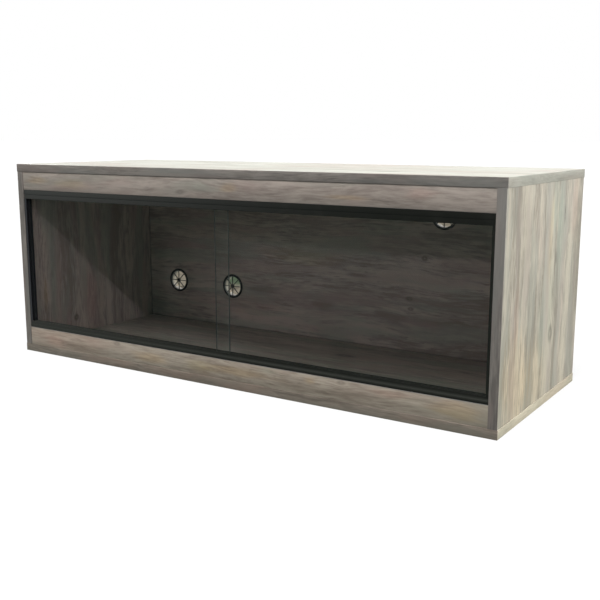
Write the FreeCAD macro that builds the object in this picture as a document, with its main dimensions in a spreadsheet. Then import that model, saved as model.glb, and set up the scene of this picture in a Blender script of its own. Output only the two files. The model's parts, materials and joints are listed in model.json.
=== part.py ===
# A flat-pack wooden vivarium: a long cabinet of wood-effect boards with two sliding glass
# doors, black plastic runners and push-in air vents.
#
# Frame: millimetres, +Z up, the front faces -Y, +X is to the right when seen from the front.
# The origin is the middle of the underside.

import FreeCAD, Part
import Sketcher
import math
import os
from collections import defaultdict
from dataclasses import dataclass

SIZES = {
    # The cabinet over all: four feet long, eighteen inches deep and high
    "cabinet_width": 1220.0,
    "cabinet_depth": 457.0,
    "cabinet_height": 457.0,
    # Faced boards, the edging strips glued to their edges, and how far boards stand in
    "board_thickness": 18.0,
    "edging_thickness": 1.0,
    "side_setback": 1.2,
    "fascia_setback": 1.0,
    "fascia_height": 43.0,
    # Runners and upright channels, all with the same E-shaped section for two panes
    "runner_setback": 0.4,
    "runner_leg": 2.5,
    "runner_web": 2.0,
    "runner_bead": 0.6,
    "top_runner_height": 21.0,
    "bottom_runner_height": 15.0,
    "upright_web": 1.5,
    "upright_height": 6.0,
    # Glass doors
    "glass_thickness": 4.0,
    "glass_face_clearance": 0.6,
    "glass_edge_clearance": 0.3,
    "glass_engagement": 5.0,
    "glass_arris": 0.5,
    "door_overlap": 30.0,
    # Push-in air vents: flange, barrel, grip bead, flex slots and grille
    "vent_hole_diameter": 56.0,
    "vent_flange_diameter": 64.0,
    "vent_flange_thickness": 2.4,
    "vent_flange_chamfer": 1.0,
    "vent_wall": 1.6,
    "vent_barrel_clearance": 0.5,
    "vent_barrel_length": 16.0,
    "vent_bead_clearance": 0.1,
    "vent_bead_length": 3.0,
    "vent_slot_width": 3.0,
    "vent_slot_length": 9.0,
    "vent_grille_thickness": 1.8,
    "vent_rib": 2.0,
    "vent_hub_diameter": 11.0,
    "vent_hub_rise": 0.8,
    # Where the vents are: from the side walls, the floor and the ceiling to their middles
    "low_vent_from_left": 104.0,
    "low_vent_pitch": 188.0,
    "low_vent_above_floor": 109.0,
    "high_vent_from_right": 284.0,
    "high_vent_below_ceiling": 94.0,
    # Cam fittings: the lock in the board's face, the bolt in its edge and the cover
    "cam_diameter": 15.0,
    "cam_depth": 12.5,
    "cam_bore_depth": 13.0,
    "cam_reach": 24.0,
    "cam_clearance": 0.1,
    "cam_throat_diameter": 7.4,
    "cam_throat_past_middle": 3.5,
    "cam_slot_length": 9.0,
    "cam_slot_width": 1.6,
    "cam_slot_depth": 2.5,
    "bolt_channel_diameter": 7.5,
    "bolt_thread_diameter": 5.0,
    "bolt_thread_length": 11.0,
    "bolt_shank_diameter": 6.6,
    "bolt_past_middle": 1.5,
    "bolt_clearance": 0.1,
    "cover_diameter": 17.0,
    "cover_thickness": 1.2,
    # Dowels
    "dowel_diameter": 8.0,
    "dowel_length": 30.0,
    "dowel_clearance": 0.1,
    "dowel_in_face": 11.0,
    # The cams' distance from the front of the cabinet, and the dowels' from the back wall
    "cam_front_inset": 84.0,
    "dowel_rear_inset": 70.0,
    # How far a cutting shape runs past the face that it cuts
    "overrun": 1.0,
}

# Heights of the dowels in the ends of the back board, as shares of its height
BACK_DOWEL_SHARES = (0.20, 0.80)
# Where the middle of the runner's bead is, up the height of its front leg
BEAD_SHARE = 0.50

DOWEL_FLATS = 12
VENT_SPOKES = 8
VENT_SLOTS = 4
FULL_TURN = 360

SHEET = "Sizes"


class Measure:
    """A length that keeps its number together with the sum of cells that gives it."""

    def __init__(self, number, formula):
        self.number = float(number)
        self.formula = formula

    def joined(self, other, sign, number, swap=False):
        """Join this measure to another, or to a plain count, as one new measure."""
        left, right = self.formula, formula_of(other)
        if swap:
            left, right = right, left
        return Measure(number, "(%s %s %s)" % (left, sign, right))

    def __add__(self, other):
        return self.joined(other, "+", self.number + number_of(other))

    def __sub__(self, other):
        return self.joined(other, "-", self.number - number_of(other))

    def __mul__(self, other):
        return self.joined(other, "*", self.number * number_of(other))

    def __rmul__(self, other):
        return self.joined(other, "*", self.number * number_of(other), swap=True)

    def __truediv__(self, other):
        return self.joined(other, "/", self.number / number_of(other))

    def __neg__(self):
        return Measure(-self.number, "(0 - %s)" % self.formula)


def number_of(value):
    """The number of a measure or of a plain count."""
    return value.number if isinstance(value, Measure) else float(value)


def formula_of(value):
    """The formula of a measure or of a plain count."""
    return value.formula if isinstance(value, Measure) else repr(value)


def size(name):
    """The measure that one cell of the sheet holds."""
    return Measure(SIZES[name], "%s.%s" % (SHEET, name))


NOUGHT = Measure(0, "0")


def make_sheet(doc):
    """Write the driving sizes into the document's sheet, one named cell for each."""
    sheet = doc.addObject("Spreadsheet::Sheet", SHEET)
    for row, (name, value) in enumerate(SIZES.items(), start=1):
        sheet.set("A%d" % row, name.replace("_", " "))
        sheet.set("B%d" % row, str(value))
        sheet.setAlias("B%d" % row, name)
    doc.recompute()
    return sheet


def bind(target, **measures):
    """Set properties of an object to measures, each by its formula."""
    for prop, measure in measures.items():
        target.setExpression(prop, formula_of(measure))


def place(target, point):
    """Bind an object's place to a point of three measures."""
    for letter, measure in zip("xyz", point):
        target.setExpression("Placement.Base." + letter, formula_of(measure))


# Bodies, sketches and features

# For each axis: the origin plane square to it, the coordinates that its sketch holds, and
# whether the plane's own normal runs with the axis or against it
PLANES = {
    "X": ("YZ_Plane", "YZ", "with"),
    "Y": ("XZ_Plane", "XZ", "against"),
    "Z": ("XY_Plane", "XY", "with"),
}
AXES = "XYZ"


def new_body(doc, name):
    """Add an empty body with its name as its label."""
    body = doc.addObject("PartDesign::Body", name)
    body.Label = name
    return body


def origin_part(body, role):
    """One of a body's own origin planes or axes."""
    return next(f for f in body.Origin.OriginFeatures if f.Role == role)


def new_sketch(body, name, axis, offset=NOUGHT):
    """Add a sketch square to an axis, at a distance along that axis from the origin."""
    role, _, normal = PLANES[axis]
    depth = offset if normal == "with" else -offset
    sketch = body.newObject("Sketcher::SketchObject", name)
    sketch.AttachmentSupport = [(origin_part(body, role), "")]
    sketch.MapMode = "FlatFace"
    sketch.setExpression("AttachmentOffset.Base.z", formula_of(depth))
    return sketch


def dimension(sketch, kind, *args):
    """Add a dimension to a sketch, its last argument being the measure that drives it."""
    *where, measure = args
    index = sketch.addConstraint(Sketcher.Constraint(kind, *where, measure.number))
    sketch.setExpression("Constraints[%d]" % index, measure.formula)


def draw_outline(sketch, points):
    """Draw a closed outline through points given as pairs of measures.

    Two points in a row with the same measure make a level or an upright line; each other
    coordinate gets a dimension from the origin.
    """
    corners = [FreeCAD.Vector(u.number, v.number, 0) for u, v in points]
    first = sketch.GeometryCount
    count = len(points)
    for i in range(count):
        sketch.addGeometry(Part.LineSegment(corners[i], corners[(i + 1) % count]), False)
    for i in range(count):
        after = first + (i + 1) % count
        sketch.addConstraint(Sketcher.Constraint("Coincident", first + i, 2, after, 1))
    for i, (u, v) in enumerate(points):
        u_before, v_before = points[i - 1]
        if i and u.formula == u_before.formula:
            sketch.addConstraint(Sketcher.Constraint("Vertical", first + i - 1))
        else:
            dimension(sketch, "DistanceX", -1, 1, first + i, 1, u)
        if i and v.formula == v_before.formula:
            sketch.addConstraint(Sketcher.Constraint("Horizontal", first + i - 1))
        else:
            dimension(sketch, "DistanceY", -1, 1, first + i, 1, v)


def draw_rectangle(sketch, low, high):
    """Draw a rectangle between two corners given as pairs of measures."""
    draw_outline(sketch, [low, (high[0], low[1]), high, (low[0], high[1])])


def draw_circles(sketch, centres, diameter):
    """Draw equal circles; the first has the diameter and the others equal it."""
    first = sketch.GeometryCount
    normal = FreeCAD.Vector(0, 0, 1)
    for i, (u, v) in enumerate(centres):
        centre = FreeCAD.Vector(u.number, v.number, 0)
        sketch.addGeometry(Part.Circle(centre, normal, diameter.number / 2), False)
        dimension(sketch, "DistanceX", -1, 1, first + i, 3, u)
        dimension(sketch, "DistanceY", -1, 1, first + i, 3, v)
        if i:
            sketch.addConstraint(Sketcher.Constraint("Equal", first, first + i))
    dimension(sketch, "Diameter", first, diameter)


def add_pad(body, sketch, length, towards_normal=True):
    """Raise a sketch into a solid."""
    pad = body.newObject("PartDesign::Pad", sketch.Name + "_pad")
    pad.Profile = sketch
    pad.Reversed = not towards_normal
    bind(pad, Length=length)
    return pad


def add_pocket(body, sketch, depth, towards_normal):
    """Cut a sketch's outline into the body."""
    pocket = body.newObject("PartDesign::Pocket", sketch.Name + "_cut")
    pocket.Profile = sketch
    pocket.Reversed = towards_normal
    bind(pocket, Length=depth)
    return pocket


def add_turned(body, sketch, axis_name):
    """Turn a sketch's outline once about one of the sketch's own axes."""
    turned = body.newObject("PartDesign::Revolution", sketch.Name + "_turned")
    turned.Profile = sketch
    turned.ReferenceAxis = (sketch, [axis_name])
    turned.Angle = FULL_TURN
    return turned


def add_ring_of(body, feature, axis_role, copies):
    """Repeat a feature evenly round one of the body's axes."""
    ring = body.newObject("PartDesign::PolarPattern", feature.Name + "_ring")
    ring.Originals = [feature]
    ring.Axis = (origin_part(body, axis_role), [""])
    ring.Angle = FULL_TURN
    ring.Occurrences = copies
    body.Tip = ring
    return ring


def add_edge_finish(body, kind, base, edges, reach):
    """Round or chamfer chosen edges of a body's last feature."""
    finish = body.newObject("PartDesign::" + kind, body.Name + "_" + kind.lower())
    finish.Base = (base, edges)
    bind(finish, **{"Radius" if kind == "Fillet" else "Size": reach})
    return finish


def edges_where(feature, test):
    """The names of a feature's edges that pass a test."""
    return ["Edge%d" % (i + 1) for i, e in enumerate(feature.Shape.Edges) if test(e)]


# Boards and the holes that are drilled in them


@dataclass(frozen=True)
class Drilling:
    """One round hole: the middle of its mouth, its way in, its diameter and its depth."""

    mouth: tuple
    way: str
    diameter: Measure
    depth: Measure


@dataclass(frozen=True)
class Board:
    """One faced board, between its lowest and highest corners."""

    name: str
    low: tuple
    high: tuple


def drill(body, number, drillings):
    """Cut a set of holes that share a plane, a way in, a diameter and a depth."""
    lead = drillings[0]
    axis = lead.way[1]
    _, letters, normal = PLANES[axis]
    u, v = [AXES.index(letter) for letter in letters]
    mouth_plane = lead.mouth[AXES.index(axis)]
    sketch = new_sketch(body, "%s_holes_%d" % (body.Name, number), axis, mouth_plane)
    draw_circles(sketch, [(d.mouth[u], d.mouth[v]) for d in drillings], lead.diameter)
    with_axis = lead.way[0] == "+"
    return add_pocket(body, sketch, lead.depth, towards_normal=with_axis == (normal == "with"))


def make_board(doc, board, drillings):
    """Build a board as a pad of its plan and cut its holes, set by set."""
    body = new_body(doc, board.name)
    plan = new_sketch(body, board.name + "_plan", "Z", board.low[2])
    draw_rectangle(plan, board.low[:2], board.high[:2])
    add_pad(body, plan, board.high[2] - board.low[2])
    sets = defaultdict(list)
    for d in drillings:
        axis = AXES.index(d.way[1])
        key = (d.way, d.mouth[axis].formula, d.diameter.formula, d.depth.formula)
        sets[key].append(d)
    cuts = [drill(body, i, sets[key]) for i, key in enumerate(sets, start=1)]
    doc.recompute()
    for cut in cuts:
        check_cut(cut)
    return body


def check_cut(cut):
    """Stop if a cut takes nothing from the solid that it starts from."""
    if cut.Shape.Volume >= cut.BaseFeature.Shape.Volume:
        raise RuntimeError("%s cuts nothing" % cut.Name)


def make_strips(doc, name, strips):
    """Build a set of edging strips, each a plain bar between two corners, as one node."""
    bars = []
    for i, (low, high) in enumerate(strips, start=1):
        bar = doc.addObject("Part::Box", "%s_strip_%d" % (name, i))
        bind(bar, Length=high[0] - low[0], Width=high[1] - low[1], Height=high[2] - low[2])
        place(bar, low)
        bars.append(bar)
    return make_group(doc, name, bars)


def make_group(doc, name, members):
    """Gather separate solids into one node."""
    group = doc.addObject("Part::Compound", name)
    group.Label = name
    group.Links = members
    return group


# The cabinet's planes, worked out from the driving sizes

WIDTH, DEPTH, HEIGHT = size("cabinet_width"), size("cabinet_depth"), size("cabinet_height")
BOARD, EDGING = size("board_thickness"), size("edging_thickness")
FRONT, REAR = -(DEPTH / 2), DEPTH / 2
RIGHT_END = WIDTH / 2
OUTER_WALL = RIGHT_END - size("side_setback")
INNER_WALL = OUTER_WALL - BOARD
FLOOR, CEILING = BOARD, HEIGHT - BOARD
BACK_WALL = REAR - BOARD
FASCIA_FRONT = FRONT + size("fascia_setback")
FASCIA_REAR = FASCIA_FRONT + BOARD
FASCIA = size("fascia_height")
SILL, LINTEL = FLOOR + FASCIA, CEILING - FASCIA

# The section of the runners, and what it leaves for the glass
LEG = size("runner_leg")
GROOVE = size("glass_thickness") + 2 * size("glass_face_clearance")
RUNNER_FRONT = FASCIA_FRONT + size("runner_setback")
RUNNER_WIDTH = 3 * LEG + 2 * GROOVE
SILL_RUNNER_TOP = SILL + size("bottom_runner_height")
LINTEL_RUNNER_FOOT = LINTEL - size("top_runner_height")
UPRIGHT_FACE = INNER_WALL - size("upright_height")

# The doors: their height, and their width when both are shut and overlap in the middle
GLASS_FOOT = SILL + size("runner_web") + size("glass_edge_clearance")
GLASS_HEAD = LINTEL_RUNNER_FOOT + size("glass_engagement")
GLASS_OUTER_EDGE = INNER_WALL - size("upright_web") - size("glass_edge_clearance")
GLASS_INNER_EDGE = size("door_overlap") / 2
FRONT_GLASS = RUNNER_FRONT + LEG + size("glass_face_clearance")
REAR_GLASS = FRONT_GLASS + GROOVE + LEG


# Joints between boards


@dataclass(frozen=True)
class Fitting:
    """A cam fitting or a dowel across the joint of one board's edge with another's face.

    seat is the middle of the joint on the face of the mating board, into is the way from
    there into the board that ends on it, and looks is the way that this board's drilled
    face looks.
    """

    seat: tuple
    edge_board: str
    face_board: str
    into: str
    looks: str


def stepped(point, way, distance):
    """A point moved by a distance along a way such as +X."""
    axis = AXES.index(way[1])
    moved = list(point)
    moved[axis] = point[axis] + distance if way[0] == "+" else point[axis] - distance
    return tuple(moved)


def opposite(way):
    """The way back."""
    return ("-" if way[0] == "+" else "+") + way[1]


def vector_of(way):
    """The unit vector of a way."""
    parts = [0, 0, 0]
    parts[AXES.index(way[1])] = 1 if way[0] == "+" else -1
    return FreeCAD.Vector(*parts)


def side_fittings(y):
    """The fittings that join the side boards to the top and the base, at one depth."""
    fittings = []
    for side, sign, face in (("left", -1, "+X"), ("right", 1, "-X")):
        middle = sign * (INNER_WALL + BOARD / 2)
        for z, mate, into in ((CEILING, "top_panel", "-Z"), (FLOOR, "base_panel", "+Z")):
            fittings.append(Fitting((middle, y, z), side + "_side_panel", mate, into, face))
    return fittings


def end_fittings(board, y, z_places, face):
    """The fittings that join both ends of a cross board to the side boards."""
    fittings = []
    for mate, sign, into in (("left_side_panel", -1, "+X"), ("right_side_panel", 1, "-X")):
        for z in z_places:
            fittings.append(Fitting((sign * INNER_WALL, y, z), board, mate, into, face))
    return fittings


def all_fittings():
    """Every cam fitting and every dowel of the cabinet.

    A cam and a dowel draw the top and the base onto each side board. Dowels locate the ends
    of the back board and of the fascias, which the side boards then hold between them.
    """
    cams = side_fittings(FRONT + size("cam_front_inset"))
    dowels = side_fittings(BACK_WALL - size("dowel_rear_inset"))
    back_places = [FLOOR + (CEILING - FLOOR) * share for share in BACK_DOWEL_SHARES]
    dowels += end_fittings("back_panel", BACK_WALL + BOARD / 2, back_places, "+Y")
    for board, foot in (("bottom_fascia", FLOOR), ("top_fascia", LINTEL)):
        dowels += end_fittings(board, FASCIA_FRONT + BOARD / 2, [foot + FASCIA / 2], "+Y")
    return cams, dowels


def fitting_drillings(cams, dowels):
    """The holes that the fittings need, listed by the board that they are drilled in."""
    holes = defaultdict(list)
    for f in cams:
        into_face = opposite(f.into)
        pilot = Drilling(f.seat, into_face, size("bolt_thread_diameter"), size("bolt_thread_length"))
        channel = Drilling(f.seat, f.into, size("bolt_channel_diameter"), size("cam_reach"))
        mouth = stepped(stepped(f.seat, f.into, size("cam_reach")), f.looks, BOARD / 2)
        bore = Drilling(mouth, opposite(f.looks), size("cam_diameter"), size("cam_bore_depth"))
        holes[f.face_board].append(pilot)
        holes[f.edge_board] += [channel, bore]
    for f in dowels:
        in_edge = size("dowel_length") - size("dowel_in_face")
        face_hole = Drilling(f.seat, opposite(f.into), size("dowel_diameter"), size("dowel_in_face"))
        holes[f.face_board].append(face_hole)
        holes[f.edge_board].append(Drilling(f.seat, f.into, size("dowel_diameter"), in_edge))
    return holes


# The fittings themselves: each kind is modelled once and set into every joint


def make_cam(doc):
    """The cam lock: a round body with a side throat for the bolt and a slot for the driver.

    Its own frame has Z out of the drilled face, whose plane is Z = 0, and X towards the
    board that the bolt is screwed into.
    """
    body = new_body(doc, "cam_lock")
    gap = size("cam_bore_depth") - size("cam_depth")
    disc = new_sketch(body, "cam_disc", "Z", -gap)
    draw_circles(disc, [(NOUGHT, NOUGHT)], size("cam_diameter") - size("cam_clearance"))
    add_pad(body, disc, size("cam_depth") - size("cam_clearance"), towards_normal=False)
    throat = new_sketch(body, "cam_throat", "X", -size("cam_throat_past_middle"))
    draw_circles(throat, [(NOUGHT, -(BOARD / 2))], size("cam_throat_diameter"))
    through = size("cam_diameter") / 2 + size("cam_throat_past_middle") + size("overrun")
    throat_cut = add_pocket(body, throat, through, towards_normal=True)
    slot = new_sketch(body, "cam_slot", "Z", -gap)
    corner = (size("cam_slot_width") / 2, size("cam_slot_length") / 2)
    draw_rectangle(slot, (-corner[0], -corner[1]), corner)
    slot_cut = add_pocket(body, slot, size("cam_slot_depth"), towards_normal=False)
    doc.recompute()
    check_cut(throat_cut)
    check_cut(slot_cut)
    return body


def make_bolt(doc):
    """The cam bolt, turned about its own X: the thread and the thicker shank.

    X = 0 is the face of the board that it is screwed into.
    """
    body = new_body(doc, "cam_bolt")
    thread = (size("bolt_thread_diameter") - size("bolt_clearance")) / 2
    shank = size("bolt_shank_diameter") / 2
    point = -(size("bolt_thread_length") - size("bolt_clearance"))
    end = size("cam_reach") + size("bolt_past_middle")
    profile = new_sketch(body, "bolt_profile", "Y")
    draw_outline(profile, [
        (point, NOUGHT), (point, thread), (NOUGHT, thread), (NOUGHT, shank), (end, shank), (end, NOUGHT),
    ])
    add_turned(body, profile, "H_Axis")
    return body


def make_dowel(doc):
    """The dowel: a rod with flats for the glue, along its own X, across the joint at X = 0."""
    body = new_body(doc, "dowel")
    radius = (size("dowel_diameter") - size("dowel_clearance")) / 2
    clear = size("dowel_clearance")
    section = new_sketch(body, "dowel_section", "X", clear - size("dowel_in_face"))
    turns = [2 * math.pi * i / DOWEL_FLATS for i in range(DOWEL_FLATS)]
    draw_outline(section, [(radius * math.cos(a), radius * math.sin(a)) for a in turns])
    add_pad(body, section, size("dowel_length") - 2 * clear)
    return body


def make_cover(doc):
    """The cover cap that hides a cam: a thin disc that lies on the board's face."""
    body = new_body(doc, "cam_cover")
    disc = new_sketch(body, "cover_disc", "Z")
    draw_circles(disc, [(NOUGHT, NOUGHT)], size("cover_diameter"))
    add_pad(body, disc, size("cover_thickness"))
    return body


def make_set(doc, name, master, settings):
    """Set copies of one piece at given points and ways, as one node of separate solids.

    Each setting gives the point, the way of the piece's own X and the way of its own Z.
    """
    members = []
    for i, (point, x_way, z_way) in enumerate(settings, start=1):
        x_axis, z_axis = vector_of(x_way), vector_of(z_way)
        link = doc.addObject("App::Link", "%s_%d" % (name, i))
        link.LinkedObject = master
        turn = FreeCAD.Rotation(x_axis, z_axis.cross(x_axis), z_axis, "XZY")
        link.Placement = FreeCAD.Placement(FreeCAD.Vector(), turn)
        place(link, point)
        members.append(link)
    return make_group(doc, name, members)


def make_fittings(doc, cams, dowels):
    """All cam locks, bolts, covers and dowels, one node for each kind."""
    reach = size("cam_reach")
    faces = [stepped(stepped(f.seat, f.into, reach), f.looks, BOARD / 2) for f in cams]
    at_cams = [(point, opposite(f.into), f.looks) for f, point in zip(cams, faces)]
    return [
        make_set(doc, "cam_locks", make_cam(doc), at_cams),
        make_set(doc, "cam_covers", make_cover(doc), at_cams),
        make_set(doc, "cam_bolts", make_bolt(doc), [(f.seat, f.into, f.looks) for f in cams]),
        make_set(doc, "wooden_dowels", make_dowel(doc), [(f.seat, f.into, f.looks) for f in dowels]),
    ]


# Runners, uprights and doors


def comb_section(web_back, web_front, leg_end, bead=None):
    """The E-shaped section, as pairs of a depth from front to rear and a distance off the web.

    It has a web and three legs with two open grooves between them. A bead, where one is
    asked for, is a shallow step along the outside of the front leg.
    """
    points = [(RUNNER_FRONT, web_back)]
    if bead is not None:
        middle = web_back + (leg_end - web_back) * BEAD_SHARE
        sunk = RUNNER_FRONT + bead
        points += [(RUNNER_FRONT, middle), (sunk, middle), (sunk, leg_end)]
    else:
        points += [(RUNNER_FRONT, leg_end)]
    leg_front = RUNNER_FRONT
    for groove in range(2):
        leg_rear = leg_front + LEG
        leg_front = leg_rear + GROOVE
        points += [(leg_rear, leg_end), (leg_rear, web_front)]
        points += [(leg_front, web_front), (leg_front, leg_end)]
    rear = leg_front + LEG
    points += [(rear, leg_end), (rear, web_back)]
    return points


def make_runner(doc, name, web_back, way, height, bead):
    """A runner across the front, from one side wall to the other."""
    body = new_body(doc, name)
    section = new_sketch(body, name + "_section", "X", -INNER_WALL)
    web = size("runner_web")
    web_front = web_back + web if way > 0 else web_back - web
    leg_end = web_back + height if way > 0 else web_back - height
    draw_outline(section, comb_section(web_back, web_front, leg_end, bead))
    add_pad(body, section, 2 * INNER_WALL)
    return body


def make_upright(doc, name, sign):
    """An upright channel on a side wall, between the legs of the two runners."""
    body = new_body(doc, name)
    section = new_sketch(body, name + "_section", "Z", SILL_RUNNER_TOP)
    web_front = sign * (INNER_WALL - size("upright_web"))
    points = comb_section(sign * INNER_WALL, web_front, sign * UPRIGHT_FACE)
    draw_outline(section, [(v, u) for u, v in points])
    add_pad(body, section, LINTEL_RUNNER_FOOT - SILL_RUNNER_TOP)
    return body


def make_door(doc, name, left, right, glass_front):
    """A pane of glass with ground arrises, shut, in one of the two grooves."""
    body = new_body(doc, name)
    plan = new_sketch(body, name + "_plan", "Z", GLASS_FOOT)
    draw_rectangle(plan, (left, glass_front), (right, glass_front + size("glass_thickness")))
    pane = add_pad(body, plan, GLASS_HEAD - GLASS_FOOT)
    doc.recompute()
    edges = edges_where(pane, lambda e: e.Length > 2 * size("glass_thickness").number)
    add_edge_finish(body, "Chamfer", pane, edges, size("glass_arris"))
    return body


# Air vents


def vent_barrel_outline(ring_inside, hole_radius):
    """The half section of flange and barrel, as pairs of a radius and a depth.

    Depth runs from the inside of the cabinet, where the flange is, into the board.
    """
    flange = size("vent_flange_diameter") / 2
    barrel = hole_radius - size("vent_barrel_clearance")
    bead = hole_radius - size("vent_bead_clearance")
    front, chamfer = -size("vent_flange_thickness"), size("vent_flange_chamfer")
    length = size("vent_barrel_length")
    bead_start = length - size("vent_bead_length")
    return [
        (ring_inside, front), (flange - chamfer, front), (flange, front + chamfer), (flange, NOUGHT),
        (barrel, NOUGHT), (barrel, bead_start), (bead, bead_start), (barrel, length),
        (ring_inside, length),
    ]


def make_vent(doc):
    """A push-in vent: spokes, hub, ring, flange and a slotted barrel with a grip bead.

    In its own frame Y = 0 is the face of the back board, and the barrel runs along +Y.
    """
    body = new_body(doc, "air_vent")
    hole_radius = size("vent_hole_diameter") / 2
    inside = hole_radius - size("vent_barrel_clearance") - size("vent_wall")
    front, rib = -size("vent_flange_thickness"), size("vent_rib")

    spoke = new_sketch(body, "vent_spoke", "Y", front)
    draw_rectangle(spoke, (NOUGHT, -(rib / 2)), (inside + size("vent_wall") / 2, rib / 2))
    bar = add_pad(body, spoke, size("vent_grille_thickness"), towards_normal=False)
    add_ring_of(body, bar, "Y_Axis", VENT_SPOKES)

    profile = new_sketch(body, "vent_profile", "Z")
    rear = front + size("vent_grille_thickness")
    draw_rectangle(profile, (NOUGHT, front - size("vent_hub_rise")), (size("vent_hub_diameter") / 2, rear))
    draw_outline(profile, vent_barrel_outline(inside, hole_radius))
    add_turned(body, profile, "V_Axis")

    notch = new_sketch(body, "vent_notch", "Z", -(size("vent_slot_width") / 2))
    length, over = size("vent_barrel_length"), size("overrun")
    notch_start = (inside - over, length - size("vent_slot_length"))
    draw_rectangle(notch, notch_start, (hole_radius + over, length + over))
    cut = add_pocket(body, notch, size("vent_slot_width"), towards_normal=True)
    add_ring_of(body, cut, "Y_Axis", VENT_SLOTS)
    doc.recompute()
    check_cut(cut)
    return body


def vent_places():
    """The middle of each vent on the face of the back board: two low ones and a high one."""
    low = FLOOR + size("low_vent_above_floor")
    high = CEILING - size("high_vent_below_ceiling")
    low_left = -INNER_WALL + size("low_vent_from_left")
    low_middle = low_left + size("low_vent_pitch")
    high_right = INNER_WALL - size("high_vent_from_right")
    return [(low_left, BACK_WALL, low), (low_middle, BACK_WALL, low), (high_right, BACK_WALL, high)]


# The boards and their edging


def all_boards():
    """The seven boards of the cabinet, without their edging."""
    end, front = RIGHT_END - EDGING, FRONT + EDGING
    head, foot = LINTEL + EDGING, SILL - EDGING
    return [
        Board("top_panel", (-end, front, CEILING), (end, REAR, HEIGHT)),
        Board("base_panel", (-end, front, NOUGHT), (end, REAR, FLOOR)),
        Board("left_side_panel", (-OUTER_WALL, front, FLOOR), (-INNER_WALL, REAR, CEILING)),
        Board("right_side_panel", (INNER_WALL, front, FLOOR), (OUTER_WALL, REAR, CEILING)),
        Board("back_panel", (-INNER_WALL, BACK_WALL, FLOOR), (INNER_WALL, REAR, CEILING)),
        Board("top_fascia", (-INNER_WALL, FASCIA_FRONT, head), (INNER_WALL, FASCIA_REAR, CEILING)),
        Board("bottom_fascia", (-INNER_WALL, FASCIA_FRONT, FLOOR), (INNER_WALL, FASCIA_REAR, foot)),
    ]


def all_edgings():
    """The edging strips of each board, as pairs of corners, by the node that holds them."""
    end, front = RIGHT_END - EDGING, FRONT + EDGING
    edgings = {}
    for board, foot, head in (("top_panel", CEILING, HEIGHT), ("base_panel", NOUGHT, FLOOR)):
        edgings[board + "_edging"] = [
            ((-RIGHT_END, FRONT, foot), (RIGHT_END, front, head)),
            ((-RIGHT_END, front, foot), (-end, REAR, head)),
            ((end, front, foot), (RIGHT_END, REAR, head)),
        ]
    edgings["left_side_edging"] = [((-OUTER_WALL, FRONT, FLOOR), (-INNER_WALL, front, CEILING))]
    edgings["right_side_edging"] = [((INNER_WALL, FRONT, FLOOR), (OUTER_WALL, front, CEILING))]
    for name, foot in (("top_fascia_edging", LINTEL), ("bottom_fascia_edging", SILL - EDGING)):
        edgings[name] = [((-INNER_WALL, FASCIA_FRONT, foot), (INNER_WALL, FASCIA_REAR, foot + EDGING))]
    return edgings


def make_cabinet(doc):
    """Build every piece and return the nodes in order."""
    cams, dowels = all_fittings()
    holes = fitting_drillings(cams, dowels)
    vents = vent_places()
    for point in vents:
        holes["back_panel"].append(Drilling(point, "+Y", size("vent_hole_diameter"), BOARD))

    nodes = [make_board(doc, board, holes[board.name]) for board in all_boards()]
    nodes += [make_strips(doc, name, strips) for name, strips in all_edgings().items()]
    bead = size("runner_bead")
    nodes.append(make_runner(doc, "top_runner", LINTEL, -1, size("top_runner_height"), bead))
    nodes.append(make_runner(doc, "bottom_runner", SILL, 1, size("bottom_runner_height"), bead))
    nodes.append(make_upright(doc, "left_upright_channel", -1))
    nodes.append(make_upright(doc, "right_upright_channel", 1))
    nodes.append(make_door(doc, "left_glass_door", -GLASS_OUTER_EDGE, GLASS_INNER_EDGE, REAR_GLASS))
    nodes.append(make_door(doc, "right_glass_door", -GLASS_INNER_EDGE, GLASS_OUTER_EDGE, FRONT_GLASS))
    nodes.append(make_set(doc, "air_vents", make_vent(doc), [(point, "+X", "+Z") for point in vents]))
    nodes += make_fittings(doc, cams, dowels)
    return nodes


def check_document(doc, nodes):
    """Stop if an object has failed or a node has no sound shape."""
    for item in doc.Objects:
        if "Invalid" in item.State or "Error" in item.State:
            raise RuntimeError("%s has failed: %s" % (item.Name, item.State))
    for node in nodes:
        if node.Shape.isNull() or not node.Shape.isValid() or not node.Shape.Solids:
            raise RuntimeError("%s has no valid solid" % node.Label)


def write_parts(nodes, folder="parts"):
    """Write each node to its own file, named after it."""
    os.makedirs(folder, exist_ok=True)
    for node in nodes:
        node.Shape.exportStep(os.path.join(folder, node.Label + ".step"))
        box = node.Shape.BoundBox
        print("%-24s %2d solids  %8.1f cm3  x %7.1f to %7.1f  y %7.1f to %7.1f  z %6.1f to %6.1f" % (
            node.Label, len(node.Shape.Solids), node.Shape.Volume / 1000,
            box.XMin, box.XMax, box.YMin, box.YMax, box.ZMin, box.ZMax))


def main():
    """Build the vivarium, check it and write its parts."""
    doc = FreeCAD.newDocument("vivarium")
    make_sheet(doc)
    nodes = make_cabinet(doc)
    doc.recompute()
    check_document(doc, nodes)
    write_parts(nodes)
    travel = GLASS_OUTER_EDGE - GLASS_INNER_EDGE
    print("door travel %.1f mm" % travel.number)


main()
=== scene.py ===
"""A long flat-pack wooden vivarium: wood-effect boards, black runners, glass doors and air vents.

Lengths are in metres in the cabinet's own frame: +Z up, the glass front faces -Y, and the
origin is the middle of the underside.
"""

import json
import logging
import math
from contextlib import contextmanager
from dataclasses import dataclass, field
from enum import Enum
from typing import Callable, Iterator, Sequence

import bmesh
import bpy
from mathutils import Euler, Matrix, Vector


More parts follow.
